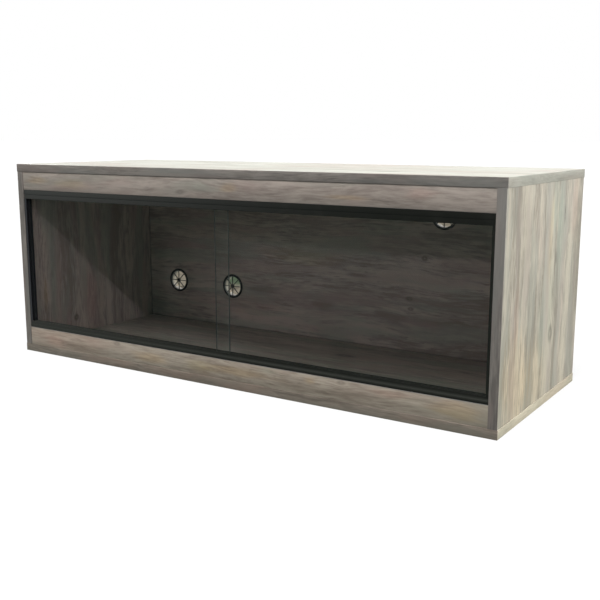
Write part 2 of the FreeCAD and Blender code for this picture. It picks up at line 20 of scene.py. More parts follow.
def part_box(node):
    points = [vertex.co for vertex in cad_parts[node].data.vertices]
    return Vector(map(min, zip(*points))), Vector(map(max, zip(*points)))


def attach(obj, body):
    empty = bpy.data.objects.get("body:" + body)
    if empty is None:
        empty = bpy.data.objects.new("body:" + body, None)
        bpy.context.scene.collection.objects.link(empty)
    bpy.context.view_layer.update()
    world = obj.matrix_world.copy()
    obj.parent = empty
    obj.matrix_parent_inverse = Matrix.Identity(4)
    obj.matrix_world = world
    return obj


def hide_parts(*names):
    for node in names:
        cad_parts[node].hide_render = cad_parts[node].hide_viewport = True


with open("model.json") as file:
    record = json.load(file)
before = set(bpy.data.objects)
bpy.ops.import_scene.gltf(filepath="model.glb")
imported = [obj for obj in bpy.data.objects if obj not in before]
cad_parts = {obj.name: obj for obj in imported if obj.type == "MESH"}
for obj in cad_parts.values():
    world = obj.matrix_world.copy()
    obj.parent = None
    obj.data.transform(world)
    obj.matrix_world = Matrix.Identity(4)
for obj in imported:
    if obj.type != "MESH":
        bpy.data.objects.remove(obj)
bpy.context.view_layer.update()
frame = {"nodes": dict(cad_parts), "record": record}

LOG = logging.getLogger("vivarium")

MM = 0.001
TOUCH = 1e-5
FULL_TURN = 2 * math.pi
SMOOTH_ANGLE = math.radians(32)

Colour = tuple[float, float, float, float]
Pair = tuple[float, float]
Feeds = dict[str, object]


def colour(red: float, green: float, blue: float) -> Colour:
    """A solid colour from its linear red, green and blue."""
    return (red, green, blue, 1.0)


BLACK = colour(0, 0, 0)


class Body(Enum):
    """The bodies that move against each other."""

    CABINET = "cabinet"
    LEFT_DOOR = "left_door"
    RIGHT_DOOR = "right_door"


class Slot(Enum):
    """The finishes that the record names."""

    BOARD = "wood_effect_board"
    EDGING = "edging_strip"
    RUNNER = "runner_plastic"
    GLASS = "door_glass"
    VENT = "vent_plastic"
    METAL = "fitting_metal"
    COVER = "cover_plastic"
    DOWEL = "dowel_wood"


class Grain(Enum):
    """The axes that run along a board's grain, across it and through the board."""

    LEVEL = ("X", "Y", "Z")
    ACROSS_FRONT = ("X", "Z", "Y")
    UPRIGHT = ("Z", "Y", "X")
    UPRIGHT_FRONT = ("Z", "X", "Y")
    ALONG_END = ("Y", "Z", "X")


# Modelling by hand


class Bench:
    """The modelling steps that all pieces share."""

    @staticmethod
    def clear() -> None:
        """Deselect every object."""
        bpy.ops.object.select_all(action="DESELECT")

    @staticmethod
    def take(piece: bpy.types.Object) -> None:
        """Select one object alone and make it active."""
        Bench.clear()
        piece.select_set(True)
        bpy.context.view_layer.objects.active = piece

    @staticmethod
    def name(piece: bpy.types.Object, name: str) -> bpy.types.Object:
        """Name an object and its mesh alike."""
        piece.name = name
        piece.data.name = name
        return piece

    @staticmethod
    @contextmanager
    def editing(piece: bpy.types.Object, kind: str = "FACE") -> Iterator[None]:
        """Hold a piece open in edit mode, with nothing selected at first.

        Args:
            piece: The mesh object to edit.
            kind: What is selected there: VERT, EDGE or FACE.
        """
        Bench.take(piece)
        bpy.ops.object.mode_set(mode="EDIT")
        bpy.ops.mesh.select_mode(type=kind)
        bpy.ops.mesh.select_all(action="DESELECT")
        yield
        bpy.ops.object.mode_set(mode="OBJECT")

    @staticmethod
    def pick_faces(piece: bpy.types.Object, test: Callable[[bmesh.types.BMFace], bool]) -> None:
        """Select only the faces of the open piece that pass a test."""
        bpy.ops.mesh.select_all(action="DESELECT")
        mesh = bmesh.from_edit_mesh(piece.data)
        for face in mesh.faces:
            if test(face):
                face.select_set(True)
        bmesh.update_edit_mesh(piece.data)

    @staticmethod
    def pick_edges(piece: bpy.types.Object, test: Callable[[Vector, Vector], bool]) -> None:
        """Select only the edges of the open piece whose two ends pass a test."""
        bpy.ops.mesh.select_all(action="DESELECT")
        mesh = bmesh.from_edit_mesh(piece.data)
        for edge in mesh.edges:
            if test(edge.verts[0].co, edge.verts[1].co):
                edge.select_set(True)
        bmesh.update_edit_mesh(piece.data)

    @staticmethod
    def block(name: str, low: Vector, high: Vector) -> bpy.types.Object:
        """A block between two corners, as a start for a piece."""
        Bench.clear()
        bpy.ops.mesh.primitive_cube_add(size=1.0, location=(low + high) / 2)
        piece = bpy.context.object
        bpy.ops.transform.resize(value=high - low)
        Bench.settle(piece)
        return Bench.name(piece, name)

    @staticmethod
    def settle(piece: bpy.types.Object) -> None:
        """Put an object's place, turn and scale into its mesh."""
        Bench.take(piece)
        bpy.ops.object.transform_apply(location=True, rotation=True, scale=True)

    @staticmethod
    def extrude(way: Vector) -> None:
        """Draw the selection of the open piece out along a vector."""
        bpy.ops.mesh.extrude_region_move(TRANSFORM_OT_translate={"value": tuple(way)})

    @staticmethod
    def slice(piece: bpy.types.Object, point: Vector, normal: Vector) -> None:
        """Cut new edges into the open piece's selection along a plane."""
        bpy.ops.mesh.bisect(plane_co=tuple(point), plane_no=tuple(normal))

    @staticmethod
    def bevel(width: float, segments: int) -> None:
        """Bevel the selected edges of the open piece."""
        bpy.ops.mesh.bevel(offset=width, segments=segments, affect="EDGES", clamp_overlap=True)

    @staticmethod
    def close_up(piece: bpy.types.Object) -> None:
        """Merge a piece's doubled points and turn its faces outwards."""
        with Bench.editing(piece, "VERT"):
            bpy.ops.mesh.select_all(action="SELECT")
            bpy.ops.mesh.remove_doubles(threshold=TOUCH)
            bpy.ops.mesh.dissolve_degenerate(threshold=TOUCH)
            bpy.ops.mesh.normals_make_consistent(inside=False)

    @staticmethod
    def smooth(piece: bpy.types.Object) -> None:
        """Shade a piece smooth across its shallow edges."""
        Bench.take(piece)
        bpy.ops.object.shade_smooth_by_angle(angle=SMOOTH_ANGLE)

    @staticmethod
    def copy_of_node(node: str, name: str) -> bpy.types.Object:
        """A merged copy of a CAD node's mesh, whose flat faces are whole again.

        Args:
            node: The CAD node to copy.
            name: The new piece's name.

        Returns:
            The new piece, bare of materials.
        """
        Bench.clear()
        piece = bpy.data.objects.new(name, frame["nodes"][node].data.copy())
        bpy.context.collection.objects.link(piece)
        Bench.name(piece, name)
        piece.data.materials.clear()
        Bench.take(piece)
        bpy.ops.mesh.customdata_custom_splitnormals_clear()
        Bench.close_up(piece)
        with Bench.editing(piece, "FACE"):
            bpy.ops.mesh.select_all(action="SELECT")
            bpy.ops.mesh.dissolve_limited(angle_limit=math.radians(1))
        return piece

    @staticmethod
    def turned(name: str, outline: Sequence[Pair], steps: int) -> bpy.types.Object:
        """Turn a closed outline once about the Y axis.

        Args:
            name: The new piece's name.
            outline: The outline's points, each a radius and a depth along Y.
            steps: How many facets go round.

        Returns:
            The turned piece, closed and facing outwards.
        """
        Bench.clear()
        bpy.ops.mesh.primitive_plane_add(size=MM, location=(0, 0, 0))
        piece = Bench.name(bpy.context.object, name)
        points = [Vector((radius, depth, 0)) for radius, depth in outline]
        with Bench.editing(piece, "VERT"):
            bpy.ops.mesh.select_all(action="SELECT")
            bpy.ops.mesh.merge(type="CENTER")
            bpy.ops.transform.translate(value=points[0])
            for before, after in zip(points, points[1:]):
                Bench.extrude(after - before)
            mesh = bmesh.from_edit_mesh(piece.data)
            for vert in mesh.verts:
                vert.select_set(any((vert.co - end).length < TOUCH / 10 for end in (points[0], points[-1])))
            bmesh.update_edit_mesh(piece.data)
            bpy.ops.mesh.edge_face_add()
            bpy.ops.mesh.select_all(action="SELECT")
            bpy.ops.mesh.spin(steps=steps, angle=FULL_TURN, center=(0, 0, 0), axis=(0, 1, 0))
        Bench.close_up(piece)
        return piece

    @staticmethod
    def combine(piece: bpy.types.Object, tool: bpy.types.Object, operation: str) -> None:
        """Unite a piece with a tool object, or cut it with one, and remove the tool."""
        Bench.take(piece)
        modifier = piece.modifiers.new("combine", "BOOLEAN")
        modifier.operation = operation
        modifier.solver = "MANIFOLD"
        modifier.object = tool
        bpy.ops.object.modifier_apply(modifier=modifier.name)
        bpy.data.objects.remove(tool)

    @staticmethod
    def copy_to(piece: bpy.types.Object, name: str, place: Matrix) -> bpy.types.Object:
        """A copy of a piece with its own mesh, moved by a matrix."""
        copy = bpy.data.objects.new(name, piece.data.copy())
        bpy.context.collection.objects.link(copy)
        copy.data.name = name
        copy.data.transform(place)
        return copy


def hand_over(piece: bpy.types.Object, body: Body, slot: Slot, *nodes: str) -> None:
    """Set a finished piece on its body and hide the CAD nodes that it stands for.

    Args:
        piece: The finished piece.
        body: The body that it rides on.
        slot: The record's finish that it takes; not used.
        nodes: The CAD nodes that it replaces.
    """
    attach(piece, body.value)
    if nodes:
        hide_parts(*nodes)
    LOG.info("%s: %d faces, on %s", piece.name, len(piece.data.polygons), body.value)


# Node trees


class Sheet:
    """A node tree with short ways to add nodes and join them."""

    def __init__(self, tree: bpy.types.NodeTree) -> None:
        """Hold the tree that the nodes go into."""
        self.tree = tree

    def feed(self, socket: bpy.types.NodeSocket, value: object) -> None:
        """Link a socket to another one, or set its own value."""
        if isinstance(value, bpy.types.NodeSocket):
            self.tree.links.new(value, socket)
        else:
            socket.default_value = value

    def add(self, kind: str, feeds: Feeds | None = None, **settings: object) -> bpy.types.Node:
        """Add a node.

        Args:
            kind: The node's type without its ShaderNode prefix.
            feeds: What goes into its inputs, by their names.
            settings: The node's own settings.

        Returns:
            The new node.
        """
        node = self.tree.nodes.new("ShaderNode" + kind)
        for name, value in settings.items():
            setattr(node, name, value)
        for name, value in (feeds or {}).items():
            self.feed(node.inputs[name], value)
        return node

    def use(self, group: bpy.types.NodeTree, feeds: Feeds) -> bpy.types.Node:
        """Add a node group with its own inputs."""
        node = self.add("Group", node_tree=group)
        for name, value in feeds.items():
            self.feed(node.inputs[name], value)
        return node

    def maths(self, operation: str, *terms: object, clamp: bool = False) -> bpy.types.NodeSocket:
        """One step of arithmetic on plain numbers."""
        node = self.add("Math", operation=operation, use_clamp=clamp)
        for socket, term in zip(node.inputs, terms):
            self.feed(socket, term)
        return node.outputs[0]

    def vector(self, operation: str, first: object, second: object) -> bpy.types.NodeSocket:
        """One step of arithmetic on vectors."""
        node = self.add("VectorMath", operation=operation)
        self.feed(node.inputs[0], first)
        self.feed(node.inputs[1], second)
        return node.outputs[0]

    def join(self, x: object, y: object, z: object) -> bpy.types.NodeSocket:
        """A vector from its three parts."""
        return self.add("CombineXYZ", {"X": x, "Y": y, "Z": z}).outputs[0]

    def split(self, vector: bpy.types.NodeSocket) -> dict[str, bpy.types.NodeSocket]:
        """The three parts of a vector by their letters."""
        outputs = self.add("SeparateXYZ", {"Vector": vector}).outputs
        return {letter: outputs[letter] for letter in "XYZ"}

    def noise(self, place: object, stretch: tuple[float, float, float], detail: float = 2.0,
              rough: float = 0.5) -> bpy.types.NodeSocket:
        """Soft noise from 0 to 1, whose features have a size of 1 over the stretch.

        Args:
            place: The vector that the noise is read at.
            stretch: How many features fit in a metre along each axis.
            detail: How many finer layers it has.
            rough: How strong the finer layers are.
        """
        scaled = self.vector("MULTIPLY", place, stretch)
        feeds = {"Vector": scaled, "Scale": 1.0, "Detail": detail, "Roughness": rough}
        return self.add("TexNoise", feeds).outputs[0]

    def spread(self, value: object, low: float, high: float, foot: float = 0.0,
               head: float = 1.0) -> bpy.types.NodeSocket:
        """Map a value from one span to another, eased and held at both ends."""
        feeds = {"Value": value, "From Min": low, "From Max": high, "To Min": foot, "To Max": head}
        return self.add("MapRange", feeds, interpolation_type="SMOOTHSTEP").outputs[0]

    def blend(self, share: object, first: object, second: object) -> bpy.types.NodeSocket:
        """Mix two colours by a share from 0 to 1."""
        node = self.add("Mix", data_type="RGBA")
        self.feed(node.inputs[0], share)
        self.feed(node.inputs[6], first)
        self.feed(node.inputs[7], second)
        return node.outputs[2]


SOCKET_KINDS = {float: "NodeSocketFloat", 3: "NodeSocketVector", 4: "NodeSocketColor"}


class Effect:
    """A shader effect that materials share, as a node group."""

    def __init__(self, name: str, inputs: Feeds, outputs: Feeds) -> None:
        """Make the group and its sockets.

        Args:
            name: The group's name.
            inputs: The value that each input starts with, by its name.
            outputs: A sample value of each output, by its name.
        """
        self.group = bpy.data.node_groups.new(name, "ShaderNodeTree")
        for way, values in (("INPUT", inputs), ("OUTPUT", outputs)):
            for socket_name, value in values.items():
                kind = SOCKET_KINDS[float if isinstance(value, float) else len(value)]
                made = self.group.interface.new_socket(socket_name, in_out=way, socket_type=kind)
                made.default_value = value
        self.sheet = Sheet(self.group)
        self.inputs = self.group.nodes.new("NodeGroupInput").outputs
        self.outputs = self.group.nodes.new("NodeGroupOutput").inputs

    def put_out(self, **results: object) -> bpy.types.NodeTree:
        """Feed the group's outputs and return the finished group."""
        for name, value in results.items():
            self.sheet.feed(self.outputs[name], value)
        return self.group


class Effects:
    """The node groups that the finishes share, each built once."""

    def __init__(self) -> None:
        """Build every group."""
        self.knot = self.build_knot()
        self.patch = self.build_patch()
        self.oak_print = self.build_oak_print()
        self.chips = self.build_chips()
        self.moulding = self.build_moulding()

    @staticmethod
    def build_knot() -> bpy.types.NodeTree:
        """A knot that the grain flows round, with a dark core."""
        effect = Effect(
            "grain_knot",
            {
                "Place": (0.0, 0.0, 0.0), "Centre": (0.0, 0.0, 0.0), "Length": 0.05, "Width": 0.02,
                "Depth": 0.7,
            },
            {"Place": (0.0, 0.0, 0.0), "Core": 0.0},
        )
        sheet, given = effect.sheet, effect.inputs
        away = sheet.split(sheet.vector("SUBTRACT", given["Place"], given["Centre"]))
        along = sheet.maths("DIVIDE", away["X"], given["Length"])
        across = sheet.maths("DIVIDE", away["Y"], given["Width"])
        far = sheet.maths("ADD", sheet.maths("MULTIPLY", along, along), sheet.maths("MULTIPLY", across, across))
        nearness = sheet.maths("EXPONENT", sheet.maths("MULTIPLY", far, -1.0))
        drawn_in = sheet.maths("MULTIPLY", sheet.maths("MULTIPLY", away["Y"], nearness), -0.85)
        place = sheet.vector("ADD", given["Place"], sheet.join(0.0, drawn_in, 0.0))
        reach = sheet.maths("SQRT", far)
        heart = sheet.spread(reach, 0.05, 0.30, 0.45, 1.0)
        core = sheet.maths("MULTIPLY", sheet.spread(reach, 0.85, 0.30), heart)
        core = sheet.maths("MULTIPLY", core, given["Depth"])
        return effect.put_out(Place=place, Core=core)

    @staticmethod
    def build_patch() -> bpy.types.NodeTree:
        """A soft patch of the print that is tinted, with edges that fray along the grain."""
        effect = Effect(
            "print_patch",
            {
                "Place": (0.0, 0.0, 0.0), "Centre": (0.0, 0.0, 0.0), "Length": 0.05, "Width": 0.02,
                "Strength": 0.7, "Tint": colour(1.0, 1.0, 1.0), "Print": colour(0.5, 0.5, 0.5),
            },
            {"Color": colour(0.5, 0.5, 0.5)},
        )
        sheet, given = effect.sheet, effect.inputs
        away = sheet.split(sheet.vector("SUBTRACT", given["Place"], given["Centre"]))
        fray = sheet.maths("SUBTRACT", sheet.noise(given["Place"], (14.0, 95.0, 95.0), 3.0, 0.6), 0.5)
        along = sheet.maths("DIVIDE", away["X"], given["Length"])
        across = sheet.maths("DIVIDE", away["Y"], given["Width"])
        far = sheet.maths("ADD", sheet.maths("MULTIPLY", along, along), sheet.maths("MULTIPLY", across, across))
        edge = sheet.maths("MULTIPLY_ADD", fray, 1.3, sheet.maths("SQRT", far))
        share = sheet.maths("MULTIPLY", sheet.spread(edge, 1.15, 0.25), given["Strength"])
        node = sheet.add("Mix", data_type="RGBA", blend_type="MULTIPLY")
        for index, value in ((0, share), (6, given["Print"]), (7, given["Tint"])):
            sheet.feed(node.inputs[index], value)
        return effect.put_out(Color=node.outputs[2])

    @staticmethod
    def build_oak_print() -> bpy.types.NodeTree:
        """The printed oak: tone bands, streaks, growth lines, pores, tinted patches, dark knot cores and painted shade
        along corners.

        The place has the grain along X and runs across the board along Y.
        """
        effect = Effect(
            "oak_print",
            {
                "Place": (0.0, 0.0, 0.0), "Seed": 0.0, "Pale": colour(0.5, 0.5, 0.5),
                "Deep": colour(0.3, 0.3, 0.3), "Blush": colour(0.4, 0.3, 0.3),
                "Moss": colour(0.3, 0.4, 0.3), "Bands": 1.0, "Streaks": 1.0, "Figure": 1.0,
                "Flecks": 1.0, "Tint": 1.0, "Knot": 0.0, "CornerShade": 0.0,
            },
            {"Color": colour(0.5, 0.5, 0.5), "Roughness": 0.5, "Height": 0.0},
        )
        sheet, given = effect.sheet, effect.inputs
        seeds = sheet.join(given["Seed"], given["Seed"], given["Seed"])
        offset = sheet.vector("MULTIPLY", seeds, (3.7, 1.9, 0.7))
        place = sheet.vector("ADD", given["Place"], offset)
        slow = sheet.maths("SUBTRACT", sheet.noise(place, (2.4, 7.0, 7.0), 1.0), 0.5)
        quick = sheet.maths("SUBTRACT", sheet.noise(place, (9.0, 16.0, 16.0), 1.0), 0.5)
        sway = sheet.maths("MULTIPLY_ADD", slow, 0.040, sheet.maths("MULTIPLY", quick, 0.014))
        swayed = sheet.vector("ADD", place, sheet.join(0.0, sway, 0.0))

        wide = sheet.maths("SUBTRACT", sheet.noise(swayed, (1.8, 26.0, 26.0), 2.0), 0.5)
        mottle = sheet.maths("SUBTRACT", sheet.noise(swayed, (9.0, 62.0, 62.0), 3.0, 0.6), 0.5)
        streak = sheet.maths("SUBTRACT", sheet.noise(swayed, (24.0, 210.0, 210.0), 3.0, 0.65), 0.5)
        fine = sheet.maths("SUBTRACT", sheet.noise(swayed, (14.0, 620.0, 620.0), 2.0, 0.6), 0.5)
        ring_field = sheet.maths("MULTIPLY", sheet.noise(place, (1.1, 6.5, 6.5), 2.0, 0.35), 13.0)
        rings = sheet.maths("PINGPONG", ring_field, 0.5)
        ringed = sheet.spread(sheet.noise(place, (1.2, 5.0, 5.0), 1.0), 0.42, 0.60)
        lines = sheet.maths("MULTIPLY", sheet.spread(rings, 0.16, 0.0), ringed)
        fleck_field = sheet.spread(sheet.noise(swayed, (30.0, 170.0, 170.0), 3.0, 0.6), 0.56, 0.70)
        flecked = sheet.spread(sheet.noise(place, (4.0, 14.0, 14.0), 1.0), 0.42, 0.62)
        flecks = sheet.maths("MULTIPLY", fleck_field, flecked)
        pores = sheet.spread(sheet.noise(swayed, (55.0, 1700.0, 1700.0), 1.0), 0.60, 0.72)

        tone = sheet.maths("MULTIPLY_ADD", wide, sheet.maths("MULTIPLY", given["Bands"], 2.4), 0.42)
        tone = sheet.maths("MULTIPLY_ADD", mottle, sheet.maths("MULTIPLY", given["Streaks"], 1.5), tone)
        tone = sheet.maths("MULTIPLY_ADD", streak, sheet.maths("MULTIPLY", given["Streaks"], 2.2), tone)
        tone = sheet.maths("MULTIPLY_ADD", fine, sheet.maths("MULTIPLY", given["Streaks"], 0.8), tone)
        tone = sheet.maths("MULTIPLY_ADD", lines, sheet.maths("MULTIPLY", given["Figure"], 0.35), tone)
        tone = sheet.maths("MULTIPLY_ADD", flecks, sheet.maths("MULTIPLY", given["Flecks"], 0.55), tone)
        tone = sheet.maths("MULTIPLY_ADD", pores, 0.2, tone, clamp=True)

        blush_at = sheet.vector("ADD", swayed, (17.0, 5.0, 3.0))
        blushed = sheet.spread(sheet.noise(blush_at, (4.5, 22.0, 22.0), 2.0), 0.48, 0.66)
        moss_at = sheet.vector("ADD", swayed, (41.0, 9.0, 7.0))
        mossed = sheet.spread(sheet.noise(moss_at, (3.8, 26.0, 26.0), 2.0), 0.48, 0.64)
        look = sheet.blend(tone, given["Pale"], given["Deep"])
        tint = sheet.maths("MULTIPLY", given["Tint"], 0.55)
        look = sheet.blend(sheet.maths("MULTIPLY", blushed, tint), look, given["Blush"])
        look = sheet.blend(sheet.maths("MULTIPLY", mossed, tint), look, given["Moss"])
        # Knot cores and painted corner shade both pull the print towards a dimmed deep colour.
        dark = sheet.add("HueSaturation", {"Color": given["Deep"], "Value": 0.42}).outputs[0]
        knot_core_and_painted_shade = sheet.maths("MAXIMUM", given["Knot"], given["CornerShade"])
        look = sheet.blend(knot_core_and_painted_shade, look, dark)

        roughness = sheet.maths("MULTIPLY_ADD", fine, 0.20, 0.46)
        roughness = sheet.maths("MULTIPLY_ADD", pores, 0.15, roughness)
        height = sheet.maths("MULTIPLY_ADD", pores, -0.7, sheet.maths("MULTIPLY", fine, 0.6))
        return effect.put_out(Color=look, Roughness=roughness, Height=height)

    @staticmethod
    def build_chips() -> bpy.types.NodeTree:
        """Pressed wood chips: flakes of several browns and the gaps between them."""
        effect = Effect(
            "wood_chips",
            {"Place": (0.0, 0.0, 0.0), "Flake": 420.0, "Pale": colour(0.5, 0.4, 0.25), "Deep": colour(0.2, 0.13, 0.08)},
            {"Color": colour(0.4, 0.3, 0.2), "Height": 0.0},
        )
        sheet, given = effect.sheet, effect.inputs
        cells = sheet.add("TexVoronoi", {"Vector": given["Place"], "Scale": given["Flake"]}, feature="F1")
        flake = sheet.add("SeparateColor", {"Color": cells.outputs["Color"]}).outputs[0]
        grit = sheet.noise(given["Place"], (900.0, 900.0, 900.0), 3.0, 0.7)
        tone = sheet.maths("MULTIPLY_ADD", grit, 0.6, sheet.maths("MULTIPLY", flake, 0.6), clamp=True)
        look = sheet.blend(tone, given["Pale"], given["Deep"])
        return effect.put_out(Color=look, Height=sheet.maths("SUBTRACT", flake, cells.outputs["Distance"]))

    @staticmethod
    def build_moulding() -> bpy.types.NodeTree:
        """Moulded or drawn plastic: faint mottling, fine grain and a little dust."""
        effect = Effect(
            "plastic_skin",
            {"Place": (0.0, 0.0, 0.0), "Base": colour(0.02, 0.02, 0.02), "Dust": colour(0.1, 0.1, 0.1), "Grain": 2500.0},
            {"Color": colour(0.02, 0.02, 0.02), "Roughness": 0.4, "Height": 0.0},
        )
        sheet, given = effect.sheet, effect.inputs
        mottle = sheet.noise(given["Place"], (35.0, 35.0, 35.0), 3.0)
        grain = sheet.add("TexNoise", {"Vector": given["Place"], "Scale": given["Grain"], "Detail": 1.0}).outputs[0]
        dusty = sheet.maths("MULTIPLY", sheet.spread(mottle, 0.50, 0.75), 0.25)
        look = sheet.blend(dusty, given["Base"], given["Dust"])
        roughness = sheet.maths("MULTIPLY_ADD", mottle, 0.22, 0.26)
        return effect.put_out(Color=look, Roughness=roughness, Height=grain)


# Finishes


@dataclass(frozen=True)
class Finish:
    """A finish of one plain kind, read at the object's own coordinates."""

    name: str

    def start(self) -> tuple[bpy.types.Material, Sheet, bpy.types.Node, bpy.types.NodeSocket]:
        """A new material with its sheet, its main shader and the place that it reads."""
        material = bpy.data.materials.new(self.name)
        material.use_nodes = True
        sheet = Sheet(material.node_tree)
        place = sheet.add("TexCoord").outputs["Object"]
        return material, sheet, material.node_tree.nodes["Principled BSDF"], place

    @staticmethod
    def raise_surface(sheet: Sheet, shader: bpy.types.Node, height: object, depth: float, strength: float) -> None:
        """Feed a height to the shader's normal through a bump node."""
        feeds = {"Height": height, "Distance": depth, "Strength": strength}
        sheet.feed(shader.inputs["Normal"], sheet.add("Bump", feeds).outputs[0])


@dataclass(frozen=True)
class Knot:
    """A knot in a board's print: its middle along and across the grain, and its reach."""

    along: float
    across: float
    length: float = 0.045
    width: float = 0.016
    depth: float = 0.7


@dataclass(frozen=True)
class Patch:
    """A tinted patch in a board's print: its middle along and across the grain, reach and tint."""

    along: float
    across: float
    length: float
    width: float
    tint: Colour
    strength: float = 0.6


WARM = colour(1.16, 1.02, 0.80)
# Painted warm light, as thrown up from the floor onto a board's lower part.
PAINTED_FLOOR_BOUNCE = colour(1.22, 1.14, 1.02)
ROSY = colour(1.10, 0.94, 0.92)
MINT = colour(0.98, 1.09, 1.06)
GREENISH = colour(0.86, 0.97, 0.93)
YELLOWISH = colour(1.12, 1.10, 0.90)
PALER = colour(1.20, 1.18, 1.16)
SHADY = colour(0.62, 0.62, 0.62)
DUSKY = colour(0.80, 0.79, 0.77)


@dataclass(frozen=True)
class CornerShade:
    """Painted shade along a line where a board meets another, darkest on the line: the axis across it, its place, its
    reach and its strength.
    """

    axis: str
    place: float
    reach: float = 4.0 * MM
    strength: float = 0.55


@dataclass(frozen=True)
class Tone:
    """The colours of a board's print and how strongly each part of the pattern shows."""

    pale: Colour = colour(0.482, 0.408, 0.358)
    deep: Colour = colour(0.266, 0.218, 0.190)
    blush: Colour = colour(0.410, 0.312, 0.275)
    moss: Colour = colour(0.318, 0.302, 0.258)
    bands: float = 0.7
    streaks: float = 1.0
    figure: float = 0.5
    flecks: float = 0.8
    tint: float = 1.0
    specular: float = 0.5


FRONT_TONE = Tone()
BOTTOM_FRONT_TONE = Tone(
    pale=colour(0.475, 0.405, 0.330), deep=colour(0.262, 0.214, 0.170), blush=colour(0.420, 0.325, 0.265),
    moss=colour(0.335, 0.302, 0.235),
)
INNER_TONE = Tone(
    pale=colour(0.500, 0.424, 0.370), deep=colour(0.276, 0.227, 0.195), moss=colour(0.322, 0.325, 0.268),
    bands=1.35, streaks=1.35, flecks=2.2,
)
# Paler, greener and yellower than FRONT_TONE: painted warm light of the sunlit side.
SIDE_TONE = Tone(
    pale=colour(0.512, 0.470, 0.388), deep=colour(0.268, 0.241, 0.200), blush=colour(0.385, 0.332, 0.300),
    moss=colour(0.375, 0.385, 0.338), bands=1.3, streaks=1.3, figure=0.4, flecks=0.8, tint=0.8,
    specular=0.35,
)
# Paler and greyer than the other prints, with little gloss: the top's glare painted into its colour.
TOP_TONE = Tone(
    pale=colour(0.532, 0.530, 0.478), deep=colour(0.375, 0.362, 0.322), bands=0.7, streaks=0.7, specular=0.12,
)
FRONT_BAND_TONE = Tone(
    pale=colour(0.292, 0.258, 0.232), deep=colour(0.160, 0.141, 0.128), blush=colour(0.245, 0.190, 0.172),
    moss=colour(0.215, 0.215, 0.200), bands=0.9, streaks=1.1, figure=0.0,
)
BASE_BAND_TONE = Tone(
    pale=colour(0.285, 0.240, 0.196), deep=colour(0.150, 0.122, 0.098), blush=colour(0.260, 0.190, 0.150),
    moss=colour(0.190, 0.175, 0.140), bands=0.9, streaks=1.1, figure=0.0,
)
END_BAND_TONE = Tone(
    pale=colour(0.400, 0.392, 0.345), deep=colour(0.250, 0.240, 0.205), blush=colour(0.340, 0.300, 0.260),
    moss=colour(0.300, 0.318, 0.280), bands=0.8, streaks=0.9, figure=0.0,
)
BASE_END_TONE = Tone(
    pale=colour(0.560, 0.510, 0.400), deep=colour(0.330, 0.295, 0.225), blush=colour(0.480, 0.400, 0.310),
    moss=colour(0.390, 0.390, 0.320), bands=0.8, streaks=0.9, figure=0.0,
)


@dataclass(frozen=True)
class PrintedWood(Finish):
    """A board's or a strip's wood print, with the grain along one axis."""

    effects: Effects
    grain: Grain
    seed: float
    tone: Tone
    knots: tuple[Knot, ...] = ()
    joints: tuple[CornerShade, ...] = ()
    patches: tuple[Patch, ...] = ()

    def make(self) -> bpy.types.Material:
        """Build the material."""
        material, sheet, shader, place = self.start()
        parts = sheet.split(place)
        dark: object = 0.0
        # Painted shade, darkest on each corner line and gone at its reach.
        for corner_shade in self.joints:
            away = sheet.maths("ABSOLUTE", sheet.maths("SUBTRACT", parts[corner_shade.axis], corner_shade.place))
            dark = sheet.maths("MAXIMUM", dark, sheet.spread(away, corner_shade.reach, 0.0, 0.0, corner_shade.strength))
        along, across, through = (parts[letter] for letter in self.grain.value)
        place = sheet.join(along, across, through)
        flat = sheet.join(along, across, 0.0)
        core: object = 0.0
        for knot in self.knots:
            centre = (knot.along, knot.across, 0.0)
            made = sheet.use(self.effects.knot, {
                "Place": place, "Centre": centre, "Length": knot.length, "Width": knot.width,
                "Depth": knot.depth,
            })
            place = made.outputs["Place"]
            core = sheet.maths("MAXIMUM", core, made.outputs["Core"])
        tone = self.tone
        wood = sheet.use(self.effects.oak_print, {
            "Place": place, "Seed": self.seed, "Pale": tone.pale, "Deep": tone.deep, "Blush": tone.blush,
            "Moss": tone.moss, "Bands": tone.bands, "Streaks": tone.streaks, "Figure": tone.figure,
            "Flecks": tone.flecks, "Tint": tone.tint, "Knot": core, "CornerShade": dark,
        })
        look = wood.outputs["Color"]
        for patch in self.patches:
            look = sheet.use(self.effects.patch, {
                "Place": flat, "Centre": (patch.along, patch.across, 0.0), "Length": patch.length,
                "Width": patch.width, "Strength": patch.strength, "Tint": patch.tint, "Print": look,
            }).outputs[0]
        sheet.feed(shader.inputs["Base Color"], look)
        sheet.feed(shader.inputs["Roughness"], wood.outputs["Roughness"])
        shader.inputs["Specular IOR Level"].default_value = tone.specular
        self.raise_surface(sheet, shader, wood.outputs["Height"], 0.15 * MM, 0.35)
        return material


@dataclass(frozen=True)
class PressedChips(Finish):
    """Raw chipboard, where a board has no face."""

    effects: Effects
    pale: Colour = colour(0.520, 0.400, 0.250)
    deep: Colour = colour(0.200, 0.130, 0.075)
    flake: float = 420.0

    def make(self) -> bpy.types.Material:
        """Build the material."""
        material, sheet, shader, place = self.start()
        chips = sheet.use(self.effects.chips, {
            "Place": place, "Flake": self.flake, "Pale": self.pale, "Deep": self.deep,
        })
        sheet.feed(shader.inputs["Base Color"], chips.outputs["Color"])
        shader.inputs["Roughness"].default_value = 0.85
        self.raise_surface(sheet, shader, chips.outputs["Height"], 0.3 * MM, 0.6)
        return material


@dataclass(frozen=True)
class TintSpan:
    """A tinted span of plastic: its middle along an axis, how far it reaches, and its colour. Some spans are painted
    light.
    """

    axis: str
    place: float
    reach: float
    core: float
    look: Colour


